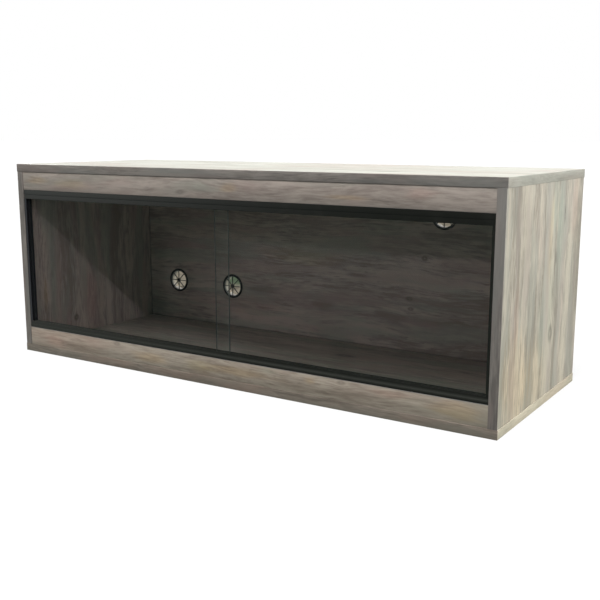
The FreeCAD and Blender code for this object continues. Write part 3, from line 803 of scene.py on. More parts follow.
@dataclass(frozen=True)
class Plastic(Finish):
    """Moulded or drawn plastic, with tinted spans along an axis: a painted highlight line, painted light inside a vent
    barrel and lighter ends.
    """

    effects: Effects
    base: Colour
    dust: Colour
    grain: float = 2500.0
    specular: float = 0.5
    tint_spans: tuple[TintSpan, ...] = ()

    def make(self) -> bpy.types.Material:
        """Build the material."""
        material, sheet, shader, place = self.start()
        skin = sheet.use(self.effects.moulding, {
            "Place": place, "Base": self.base, "Dust": self.dust, "Grain": self.grain,
        })
        look = skin.outputs["Color"]
        parts = sheet.split(place)
        for tint_span in self.tint_spans:
            away = sheet.maths("ABSOLUTE", sheet.maths("SUBTRACT", parts[tint_span.axis], tint_span.place))
            look = sheet.blend(sheet.spread(away, tint_span.reach, tint_span.core), look, tint_span.look)
        sheet.feed(shader.inputs["Base Color"], look)
        sheet.feed(shader.inputs["Roughness"], skin.outputs["Roughness"])
        shader.inputs["Specular IOR Level"].default_value = self.specular
        self.raise_surface(sheet, shader, skin.outputs["Height"], 0.05 * MM, 0.3)
        return material


@dataclass(frozen=True)
class ClearGlass(Finish):
    """Clear float glass, which lets the lamps' light through to what is behind it."""

    tint: Colour = colour(0.965, 0.985, 0.975)
    smeared: Colour = colour(0.925, 0.940, 0.930)
    passed: Colour = colour(0.90, 0.93, 0.92)
    ior: float = 1.16

    def make(self) -> bpy.types.Material:
        """Build the material."""
        material, sheet, shader, place = self.start()
        smear = sheet.spread(sheet.noise(place, (6.0, 6.0, 13.0), 4.0, 0.6), 0.45, 0.75)
        sheet.feed(shader.inputs["Base Color"], sheet.blend(smear, self.tint, self.smeared))
        shader.inputs["Roughness"].default_value = 0.0
        shader.inputs["Transmission Weight"].default_value = 1.0
        shader.inputs["IOR"].default_value = self.ior
        clear = sheet.add("BsdfTransparent", {"Color": self.passed})
        path = sheet.add("LightPath")
        mixed = sheet.add("MixShader", {0: path.outputs["Is Shadow Ray"], 1: shader.outputs[0], 2: clear.outputs[0]})
        sheet.feed(material.node_tree.nodes["Material Output"].inputs["Surface"], mixed.outputs[0])
        return material


@dataclass(frozen=True)
class GroundGlass(Finish):
    """The ground edges of the panes, greenish and dull."""

    pale: Colour = colour(0.148, 0.163, 0.150)
    deep: Colour = colour(0.094, 0.108, 0.098)

    def make(self) -> bpy.types.Material:
        """Build the material."""
        material, sheet, shader, place = self.start()
        depth = sheet.noise(place, (60.0, 60.0, 60.0), 3.0)
        sheet.feed(shader.inputs["Base Color"], sheet.blend(depth, self.pale, self.deep))
        scratches = sheet.noise(place, (1800.0, 1800.0, 1800.0), 2.0)
        sheet.feed(shader.inputs["Roughness"], sheet.maths("MULTIPLY_ADD", scratches, 0.3, 0.3))
        self.raise_surface(sheet, shader, scratches, 0.04 * MM, 0.4)
        return material


@dataclass(frozen=True)
class PlatedMetal(Finish):
    """Bright plated metal with fine turning marks and dull spots."""

    pale: Colour = colour(0.66, 0.66, 0.64)
    deep: Colour = colour(0.48, 0.48, 0.47)

    def make(self) -> bpy.types.Material:
        """Build the material."""
        material, sheet, shader, place = self.start()
        spots = sheet.noise(place, (260.0, 260.0, 260.0), 3.0)
        sheet.feed(shader.inputs["Base Color"], sheet.blend(spots, self.pale, self.deep))
        sheet.feed(shader.inputs["Roughness"], sheet.maths("MULTIPLY_ADD", spots, 0.25, 0.2))
        shader.inputs["Metallic"].default_value = 1.0
        self.raise_surface(sheet, shader, sheet.noise(place, (2600.0, 2600.0, 400.0), 1.0), 0.03 * MM, 0.3)
        return material


@dataclass(frozen=True)
class BeechRod(Finish):
    """Bare beech with its short flecks."""

    effects: Effects
    pale: Colour = colour(0.66, 0.50, 0.33)
    deep: Colour = colour(0.46, 0.32, 0.19)

    def make(self) -> bpy.types.Material:
        """Build the material."""
        material, sheet, shader, place = self.start()
        chips = sheet.use(self.effects.chips, {
            "Place": sheet.vector("MULTIPLY", place, (0.35, 1.6, 0.35)), "Flake": 900.0, "Pale": self.pale,
            "Deep": self.deep,
        })
        sheet.feed(shader.inputs["Base Color"], chips.outputs["Color"])
        shader.inputs["Roughness"].default_value = 0.6
        self.raise_surface(sheet, shader, chips.outputs["Height"], 0.1 * MM, 0.3)
        return material


# Boards and their edging


@dataclass(frozen=True)
class BoardPlan:
    """What one board is dressed with."""

    node: str
    grain: Grain
    seed: float
    tone: Tone
    knots: tuple[Knot, ...] = ()
    joints: tuple[CornerShade, ...] = ()
    patches: tuple[Patch, ...] = ()


@dataclass
class Carcass:
    """The seven faced boards, each with its bores, eased edges, print and raw edges."""

    effects: Effects
    ease: float = 0.35 * MM
    # The corner shades paint shade into the inside corners and along the top fascia's upper seam.
    plans: tuple[BoardPlan, ...] = (
        BoardPlan("top_panel", Grain.LEVEL, 1.0, TOP_TONE, (Knot(-0.21, 0.06), Knot(0.33, -0.12))),
        BoardPlan("base_panel", Grain.LEVEL, 2.0, INNER_TONE, (Knot(0.12, 0.09),), (CornerShade("Y", 0.2105),)),
        BoardPlan("left_side_panel", Grain.UPRIGHT, 3.0, INNER_TONE, (Knot(0.059, -0.078, 0.014, 0.014),),
                  (CornerShade("Y", 0.2105),), (
            Patch(0.250, -0.176, 0.130, 0.012, PALER), Patch(0.235, -0.150, 0.160, 0.010, GREENISH),
            Patch(0.190, -0.130, 0.120, 0.012, ROSY), Patch(0.180, -0.087, 0.140, 0.018, GREENISH),
            Patch(0.110, -0.020, 0.100, 0.030, ROSY), Patch(0.132, -0.176, 0.050, 0.010, WARM),
        )),
        BoardPlan("right_side_panel", Grain.UPRIGHT, 4.0, SIDE_TONE,
                  (Knot(0.140, 0.050, 0.030, 0.022, 0.5), Knot(0.370, 0.110, 0.030, 0.007, 0.6)), (), (
            # The first two patches paint warm light from the floor onto the bottom front of the side.
            Patch(0.080, -0.150, 0.120, 0.090, PAINTED_FLOOR_BOUNCE, 0.9), Patch(0.070, -0.040, 0.090, 0.080, PAINTED_FLOOR_BOUNCE, 0.7),
            Patch(0.209, -0.151, 0.080, 0.016, ROSY), Patch(0.410, -0.180, 0.080, 0.060, DUSKY),
            Patch(0.250, 0.205, 0.260, 0.040, DUSKY), Patch(0.400, 0.055, 0.080, 0.050, MINT, 0.5),
            Patch(0.210, 0.042, 0.110, 0.022, GREENISH, 0.4), Patch(0.350, -0.120, 0.110, 0.026, DUSKY, 0.4),
            Patch(0.350, 0.026, 0.110, 0.014, WARM, 0.35), Patch(0.380, 0.178, 0.090, 0.030, ROSY, 0.6),
            Patch(0.330, 0.082, 0.120, 0.024, MINT, 0.5), Patch(0.360, -0.070, 0.100, 0.024, PALER, 0.5),
            Patch(0.060, 0.120, 0.080, 0.060, PALER, 0.5), Patch(0.250, -0.075, 0.160, 0.010, PALER, 0.6),
            Patch(0.130, 0.120, 0.120, 0.012, PALER, 0.6),
            Patch(0.330, -0.038, 0.120, 0.012, PALER), Patch(0.300, 0.018, 0.120, 0.014, DUSKY),
            Patch(0.289, 0.063, 0.020, 0.010, SHADY), Patch(0.179, -0.188, 0.040, 0.010, DUSKY),
            Patch(0.110, 0.200, 0.110, 0.014, DUSKY), Patch(0.160, -0.015, 0.090, 0.022, GREENISH, 0.3),
        )),
        BoardPlan("back_panel", Grain.ACROSS_FRONT, 5.0, INNER_TONE,
                  (Knot(0.260, 0.244, 0.014, 0.011), Knot(0.223, 0.145, 0.016, 0.008), Knot(0.227, 0.121, 0.014, 0.008)),
                  (CornerShade("Z", 0.018), CornerShade("X", -0.5908)), (
            Patch(-0.201, 0.125, 0.070, 0.014, SHADY, 0.8), Patch(-0.013, 0.104, 0.045, 0.014, SHADY, 0.7),
            Patch(0.081, 0.190, 0.040, 0.006, SHADY, 0.9), Patch(-0.049, 0.128, 0.045, 0.018, GREENISH),
            Patch(0.360, 0.168, 0.060, 0.020, GREENISH), Patch(-0.067, 0.225, 0.130, 0.026, YELLOWISH),
            Patch(-0.194, 0.232, 0.060, 0.018, ROSY), Patch(-0.240, 0.080, 0.130, 0.040, ROSY, 0.7),
            Patch(0.180, 0.215, 0.110, 0.010, DUSKY), Patch(0.300, 0.100, 0.160, 0.012, DUSKY),
            Patch(-0.090, 0.175, 0.110, 0.008, SHADY, 0.6), Patch(0.430, 0.215, 0.090, 0.010, DUSKY),
        )),
        BoardPlan("top_fascia", Grain.ACROSS_FRONT, 6.0, FRONT_TONE, (Knot(-0.102, 0.408, 0.020, 0.007, 0.3),),
                  (CornerShade("Z", 0.439, 2.5 * MM, 0.5),), (
            Patch(-0.047, 0.420, 0.030, 0.014, GREENISH, 0.35), Patch(0.025, 0.420, 0.025, 0.012, WARM),
            Patch(-0.540, 0.420, 0.040, 0.012, WARM), Patch(-0.430, 0.415, 0.060, 0.014, YELLOWISH),
            Patch(0.300, 0.412, 0.060, 0.006, WARM), Patch(0.450, 0.425, 0.040, 0.012, ROSY),
            Patch(0.330, 0.418, 0.280, 0.050, DUSKY, 0.32),
        )),
        BoardPlan("bottom_fascia", Grain.ACROSS_FRONT, 7.0, BOTTOM_FRONT_TONE,
                  (Knot(-0.301, 0.055, 0.018, 0.008, 0.4), Knot(0.293, 0.055, 0.016, 0.007, 0.4)), (), (
            Patch(-0.500, 0.035, 0.040, 0.016, ROSY), Patch(-0.400, 0.030, 0.090, 0.014, DUSKY, 0.8),
            Patch(0.300, 0.032, 0.140, 0.012, DUSKY), Patch(-0.080, 0.028, 0.080, 0.010, DUSKY),
            Patch(0.400, 0.050, 0.050, 0.010, ROSY), Patch(-0.200, 0.036, 0.060, 0.014, WARM),
            Patch(0.040, 0.040, 0.110, 0.012, WARM), Patch(-0.060, 0.036, 0.050, 0.016, YELLOWISH),
            Patch(0.222, 0.048, 0.020, 0.008, WARM), Patch(0.530, 0.040, 0.060, 0.020, WARM),
            Patch(0.060, 0.039, 0.260, 0.050, DUSKY, 0.3), Patch(-0.470, 0.039, 0.150, 0.050, ROSY, 0.4),
            Patch(0.120, 0.055, 0.030, 0.008, GREENISH), Patch(0.160, 0.026, 0.090, 0.008, DUSKY),
        )),
    )

    def build(self) -> None:
        """Model and dress every board."""
        raw = PressedChips("raw_chipboard", self.effects).make()
        for plan in self.plans:
            self.build_board(plan, raw)

    def build_board(self, plan: BoardPlan, raw: bpy.types.Material) -> None:
        """Model one board: its outer edges are eased, and its unfaced edges show chips.

        Args:
            plan: The board's node, grain and print.
            raw: The material of its unfaced edges and its bores.
        """
        low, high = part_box(plan.node)
        piece = Bench.copy_of_node(plan.node, plan.node + "_board")
        with Bench.editing(piece, "EDGE"):
            Bench.pick_edges(piece, lambda a, b: self.on_corner(a, b, low, high))
            Bench.bevel(self.ease, 2)
        finish = PrintedWood(plan.node + "_print", self.effects, plan.grain, plan.seed, plan.tone, plan.knots,
                             plan.joints, plan.patches)
        piece.data.materials.append(finish.make())
        piece.data.materials.append(raw)
        through = "XYZ".index(plan.grain.value[2])
        for face in piece.data.polygons:
            face.material_index = 0 if abs(face.normal[through]) > 0.5 and self.on_face(face, through, low, high) else 1
        Bench.smooth(piece)
        hand_over(piece, Body.CABINET, Slot.BOARD, plan.node)

    @staticmethod
    def on_corner(first: Vector, second: Vector, low: Vector, high: Vector) -> bool:
        """Whether an edge lies on two of the board's outer faces."""
        sides = 0
        for axis in range(3):
            for end in (low, high):
                sides += abs(first[axis] - end[axis]) < TOUCH and abs(second[axis] - end[axis]) < TOUCH
        return sides >= 2

    def on_face(self, face: bpy.types.MeshPolygon, axis: int, low: Vector, high: Vector) -> bool:
        """Whether a face is on the board's two wide faces or their eased edges."""
        return min(abs(face.center[axis] - low[axis]), abs(face.center[axis] - high[axis])) < self.ease


@dataclass(frozen=True)
class Strip:
    """One edging strip: its corners, the way that its face looks, its grain and its tone."""

    name: str
    node: str
    low: Vector
    high: Vector
    outward: Vector
    grain: Grain
    tone: Tone


@dataclass
class Edging:
    """The strips that are glued to the boards' edges, their outer edges rounded over."""

    effects: Effects
    rounding: float = 0.6 * MM
    seeds: Iterator[float] = field(default_factory=lambda: iter(10.0 + 1.3 * i for i in range(20)))

    def build(self) -> None:
        """Model and dress every strip."""
        for strip in self.strips():
            self.build_strip(strip)

    def strips(self) -> list[Strip]:
        """Every strip, worked out from the boards and their edging in the frame."""
        strips = []
        for board, front_tone, end_tone in (("top_panel", FRONT_BAND_TONE, END_BAND_TONE),
                                            ("base_panel", BASE_BAND_TONE, BASE_END_TONE)):
            node = board + "_edging"
            low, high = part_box(node)
            board_low, board_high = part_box(board)
            front_high = Vector((high.x, board_low.y, high.z))
            strips.append(Strip(board + "_front_strip", node, low, front_high, Vector((0, -1, 0)),
                                Grain.ACROSS_FRONT, front_tone))
            strips.append(Strip(board + "_left_strip", node, Vector((low.x, board_low.y, low.z)),
                                Vector((board_low.x, high.y, high.z)), Vector((-1, 0, 0)),
                                Grain.ALONG_END, end_tone))
            strips.append(Strip(board + "_right_strip", node, Vector((board_high.x, board_low.y, low.z)),
                                high, Vector((1, 0, 0)), Grain.ALONG_END, end_tone))
        for side in ("left_side", "right_side"):
            node = side + "_edging"
            strips.append(Strip(side + "_front_strip", node, *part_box(node), Vector((0, -1, 0)),
                                Grain.UPRIGHT_FRONT, FRONT_BAND_TONE))
        for board, way in (("top_fascia", -1), ("bottom_fascia", 1)):
            node = board + "_edging"
            strips.append(Strip(board + "_edge_strip", node, *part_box(node), Vector((0, 0, way)),
                                Grain.LEVEL, FRONT_BAND_TONE))
        return strips

    def build_strip(self, strip: Strip) -> None:
        """Model one strip from a block, with its outer edges rounded over."""
        piece = Bench.block(strip.name, strip.low, strip.high)
        axis = max(range(3), key=lambda i: abs(strip.outward[i]))
        face = strip.high[axis] if strip.outward[axis] > 0 else strip.low[axis]
        with Bench.editing(piece, "EDGE"):
            Bench.pick_edges(piece, lambda a, b: abs(a[axis] - face) < TOUCH and abs(b[axis] - face) < TOUCH)
            Bench.bevel(self.rounding, 3)
        finish = PrintedWood(strip.name + "_print", self.effects, strip.grain, next(self.seeds), strip.tone)
        piece.data.materials.append(finish.make())
        Bench.smooth(piece)
        hand_over(piece, Body.CABINET, Slot.EDGING, strip.node)


# Runners and upright channels


@dataclass
class Channels:
    """The two runners and two upright channels: a web, three legs and two grooves each."""

    effects: Effects
    leg: float = 2.5 * MM
    groove: float = 5.2 * MM
    runner_web: float = 2.0 * MM
    upright_web: float = 1.5 * MM
    bead: float = 0.6 * MM
    bead_share: float = 0.5
    tip_rounding: float = 0.5 * MM
    black: Colour = colour(0.0105, 0.0108, 0.0088)
    # A lighter, bluer copy of the black plastic for the left channel: painted sheen.
    black_with_painted_sheen: Colour = colour(0.044, 0.045, 0.050)

    def build(self) -> None:
        """Model and dress the four sections."""
        quarter = FULL_TURN / 4
        # Each runner is lighter towards its left end.
        lighter_left_end = TintSpan("X", -0.6, 1.05, 0.0, colour(0.060, 0.060, 0.057))
        lighter_left_end_low = TintSpan("X", -0.6, 0.80, 0.0, colour(0.034, 0.034, 0.030))
        # A painted highlight line along the bottom runner's front face, halfway up.
        painted_highlight_line = TintSpan("Z", 68.5 * MM, 5.0 * MM, 1.0 * MM, colour(0.034, 0.035, 0.030))
        for node, turn, web, bead, base, tint_spans in (
            ("top_runner", 2 * quarter, self.runner_web, self.bead, self.black, (lighter_left_end,)),
            ("bottom_runner", 0.0, self.runner_web, self.bead, self.black, (lighter_left_end_low, painted_highlight_line)),
            # The left channel takes the copy with painted sheen.
            ("left_upright_channel", quarter, self.upright_web, 0.0, self.black_with_painted_sheen, ()),
            ("right_upright_channel", -quarter, self.upright_web, 0.0, self.black, ()),
        ):
            piece = self.section(node + "_section", node, turn, web, bead)
            finish = Plastic(node + "_plastic", self.effects, base, colour(0.030, 0.031, 0.026), specular=0.2,
                             tint_spans=tint_spans)
            piece.data.materials.append(finish.make())
            Bench.smooth(piece)
            hand_over(piece, Body.CABINET, Slot.RUNNER, node)

    def section(self, name: str, node: str, turn: float, web: float, bead: float) -> bpy.types.Object:
        """Model one section lying along X with its legs up, and turn it into its place.

        Args:
            name: The new piece's name.
            node: The CAD node that it stands for.
            turn: How far it turns about Y, so that its legs point into the opening.
            web: The thickness of its web.
            bead: How far the outer half of the front leg stands back.

        Returns:
            The section in its place.
        """
        low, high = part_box(node)
        upright = abs(math.sin(turn)) > 0.5
        span = high - low
        length, rise = (span.z, span.x) if upright else (span.x, span.z)
        piece = Bench.block(name, Vector((-length / 2, low.y, -rise / 2)), Vector((length / 2, high.y, web - rise / 2)))
        starts = [low.y + i * (self.leg + self.groove) for i in range(3)]
        waist = rise * self.bead_share - rise / 2
        with Bench.editing(piece, "FACE"):
            for cut in (starts[0] + self.leg, starts[1], starts[1] + self.leg, starts[2]):
                bpy.ops.mesh.select_all(action="SELECT")
                Bench.slice(piece, Vector((0, cut, 0)), Vector((0, 1, 0)))
            Bench.pick_faces(piece, lambda f: f.normal.z > 0.5 and self.is_leg(f, starts))
            Bench.extrude(Vector((0, 0, waist - (web - rise / 2))))
            if bead:
                Bench.slice(piece, Vector((0, low.y + bead, 0)), Vector((0, 1, 0)))
            Bench.pick_faces(piece, lambda f: f.normal.z > 0.5 and f.calc_center_median().z > waist - TOUCH
                             and f.calc_center_median().y > low.y + bead)
            Bench.extrude(Vector((0, 0, rise / 2 - waist)))
        Bench.close_up(piece)
        with Bench.editing(piece, "EDGE"):
            Bench.pick_edges(piece, lambda a, b: abs(a.y - b.y) < TOUCH and abs(a.z - b.z) < TOUCH
                             and (a.z > rise / 2 - TOUCH or abs(a.y - low.y) < TOUCH))
            Bench.bevel(self.tip_rounding, 3)
        piece.rotation_euler = (0, turn, 0)
        piece.location = ((low.x + high.x) / 2, 0, (low.z + high.z) / 2)
        Bench.settle(piece)
        return piece

    def is_leg(self, face: bmesh.types.BMFace, starts: Sequence[float]) -> bool:
        """Whether a face of the web lies under one of the legs."""
        depth = face.calc_center_median().y
        return any(start < depth < start + self.leg for start in starts)


# Sliding doors


@dataclass
class SlidingDoors:
    """The two panes of glass with their ground arrises."""

    arris: float = 0.5 * MM

    def build(self) -> None:
        """Model and dress both panes."""
        clear = ClearGlass("clear_glass").make()
        ground = GroundGlass("ground_glass").make()
        for node, body in (("left_glass_door", Body.LEFT_DOOR), ("right_glass_door", Body.RIGHT_DOOR)):
            low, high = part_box(node)
            piece = Bench.block(node + "_pane", low, high)
            with Bench.editing(piece, "EDGE"):
                Bench.pick_edges(piece, lambda a, b: abs(a.y - b.y) < TOUCH)
                Bench.bevel(self.arris, 2)
            piece.data.materials.append(clear)
            piece.data.materials.append(ground)
            for face in piece.data.polygons:
                face.material_index = 0 if abs(face.normal.y) > 0.99 else 1
            hand_over(piece, body, Slot.GLASS, node)


# Air vents


@dataclass
class AirVents:
    """The push-in vents: a flange with a rolled rim, a slotted barrel, a hub and spokes."""

    effects: Effects
    flange: float = 32.0 * MM
    flange_thickness: float = 2.4 * MM
    rim_rounding: float = 1.0 * MM
    barrel: float = 27.5 * MM
    wall: float = 1.6 * MM
    barrel_length: float = 16.0 * MM
    grip: float = 0.4 * MM
    grip_length: float = 3.0 * MM
    slot_width: float = 3.0 * MM
    slot_length: float = 9.0 * MM
    spoke_width: float = 2.0 * MM
    spoke_thickness: float = 1.8 * MM
    spoke_count: int = 8
    hub: float = 5.5 * MM
    hub_rise: float = 0.8 * MM
    steps: int = 72
    rim_steps: int = 5

    def build(self) -> None:
        """Model one vent and set a copy of it into each hole of the back board."""
        master = self.model()
        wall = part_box("back_panel")[0].y
        # Painted light on the inside of the barrel, pale from just behind the board's face; the flange stays black.
        painted_barrel_light = TintSpan("Y", wall + 18.0 * MM, 18.0 * MM, 14.0 * MM, colour(0.300, 0.270, 0.225))
        finish = Plastic("vent_black", self.effects, colour(0.011, 0.011, 0.012), colour(0.035, 0.034, 0.032),
                         specular=0.4, tint_spans=(painted_barrel_light,))
        master.data.materials.clear()
        master.data.materials.append(finish.make())
        Bench.smooth(master)
        for name, place in zip(("low_left_vent", "low_middle_vent", "high_right_vent"), self.places()):
            piece = Bench.copy_to(master, name, Matrix.Translation(place))
            hand_over(piece, Body.CABINET, Slot.VENT, "air_vents")
        bpy.data.objects.remove(master)

    def places(self) -> list[Vector]:
        """The middle of each vent on the face of the back board, from left to right."""
        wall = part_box("back_panel")[0].y
        openings = frame["record"]["physics"]["openings"]
        barrels = [o["box_m"] for o in openings if o["name"].endswith("vent_barrel")]
        middles = [[(a + b) / 2 for a, b in zip(*box)] for box in barrels]
        return [Vector((x, wall, z)) for x, _, z in sorted(middles)]

    def rim(self) -> list[Pair]:
        """The flange's rolled rim, from its front face round to its side."""
        middle = (self.flange - self.rim_rounding, self.rim_rounding - self.flange_thickness)
        turns = [FULL_TURN / 4 * i / self.rim_steps for i in range(self.rim_steps + 1)]
        return [(middle[0] + self.rim_rounding * math.sin(t), middle[1] - self.rim_rounding * math.cos(t))
                for t in turns]

    def model(self) -> bpy.types.Object:
        """Model a vent about the Y axis, with the board's face at Y = 0."""
        inside, front = self.barrel - self.wall, -self.flange_thickness
        grip_start = self.barrel_length - self.grip_length
        lead = 0.4 * MM
        piece = Bench.turned("vent_master", [
            (inside, front + lead), (inside + lead, front), *self.rim(), (self.flange, 0.0),
            (self.barrel, 0.0), (self.barrel, grip_start), (self.barrel + self.grip, grip_start + lead),
            (self.barrel, self.barrel_length), (inside, self.barrel_length),
        ], self.steps)
        for i in range(self.spoke_count // 2):
            Bench.combine(piece, self.bar(inside, FULL_TURN * i / self.spoke_count), "UNION")
        hub = Bench.turned("vent_hub", [
            (0.0, front - self.hub_rise), (self.hub - lead, front - self.hub_rise),
            (self.hub, front - self.hub_rise + lead), (self.hub, front + self.spoke_thickness),
            (0.0, front + self.spoke_thickness),
        ], self.steps // 2)
        Bench.combine(piece, hub, "UNION")
        for i in range(2):
            Bench.combine(piece, self.slot_cutter(FULL_TURN * (i + 0.5) / 4), "DIFFERENCE")
        Bench.close_up(piece)
        return piece

    def bar(self, inside: float, turn: float) -> bpy.types.Object:
        """One bar of the grille right across the barrel, which makes two spokes."""
        half, front = inside + self.wall / 2, -self.flange_thickness
        bar = Bench.block("vent_bar", Vector((-half, front, -self.spoke_width / 2)),
                          Vector((half, front + self.spoke_thickness, self.spoke_width / 2)))
        with Bench.editing(bar, "EDGE"):
            Bench.pick_edges(bar, lambda a, b: abs(a.y - b.y) < TOUCH and abs(a.z - b.z) < TOUCH and a.y < front + TOUCH)
            Bench.bevel(self.spoke_width / 5, 2)
        bar.data.transform(Matrix.Rotation(turn, 4, "Y"))
        return bar

    def slot_cutter(self, turn: float) -> bpy.types.Object:
        """A block that cuts two flex slots into the barrel's end."""
        reach, over = self.flange, self.grip
        cutter = Bench.block("vent_cutter", Vector((-reach, self.barrel_length - self.slot_length, -self.slot_width / 2)),
                             Vector((reach, self.barrel_length + over, self.slot_width / 2)))
        cutter.data.transform(Matrix.Rotation(turn, 4, "Y"))
        return cutter


# Small fittings


@dataclass
class Fittings:
    """The cam covers, and the finishes of the cams, bolts and dowels behind them."""

    effects: Effects
    cover_rim: float = 0.5 * MM
    steps: int = 48

    def build(self) -> None:
        """Model the covers and dress the fittings that keep their own shape."""
        self.build_covers()
        metal = PlatedMetal("plated_metal").make()
        beech = BeechRod("beech", self.effects).make()
        for node, material in (("cam_locks", metal), ("cam_bolts", metal), ("wooden_dowels", beech)):
            carried = frame["nodes"][node]
            carried.data.materials.clear()
            carried.data.materials.append(material)
            LOG.info("%s: keeps its shape", node)

    def build_covers(self) -> None:
        """Turn one cover and set a copy over each cam."""
        low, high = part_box("cam_covers")
        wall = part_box("right_side_panel")[0].x
        thickness = self.cover_thickness()
        radius = (high.y - low.y) / 2
        rim = self.cover_rim
        master = Bench.turned("cover_master", [
            (0.0, -thickness), (radius - 2 * rim, -thickness), (radius - rim / 2, rim - thickness),
            (radius, -rim), (radius, 0.0), (0.0, 0.0),
        ], self.steps)
        finish = Plastic("cover_plastic", self.effects, colour(0.36, 0.32, 0.27), colour(0.30, 0.27, 0.23), 1800.0)
        master.data.materials.append(finish.make())
        Bench.smooth(master)
        middle_y = (low.y + high.y) / 2
        number = 0
        for side in (-1, 1):
            turn = Matrix.Rotation(side * -FULL_TURN / 4, 4, "Z")
            for z in (low.z + radius, high.z - radius):
                number += 1
                place = Matrix.Translation((side * wall, middle_y, z)) @ turn
                piece = Bench.copy_to(master, "cam_cover_%d" % number, place)
                hand_over(piece, Body.CABINET, Slot.COVER, "cam_covers")
        bpy.data.objects.remove(master)

    @staticmethod
    def cover_thickness() -> float:
        """How far a cover stands off its board, read from the nodes in the frame."""
        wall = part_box("right_side_panel")[0].x
        points = [v.co.x for v in frame["nodes"]["cam_covers"].data.vertices if v.co.x > 0]
        return wall - min(points)


# Studio


@dataclass(frozen=True)
class Lamp:
    """One far lamp: the way its light travels, its light on a square-on face and its softness."""

    name: str
    way: Vector
    level: float
    spread: float
    tint: tuple[float, float, float] = (1.0, 1.0, 1.0)


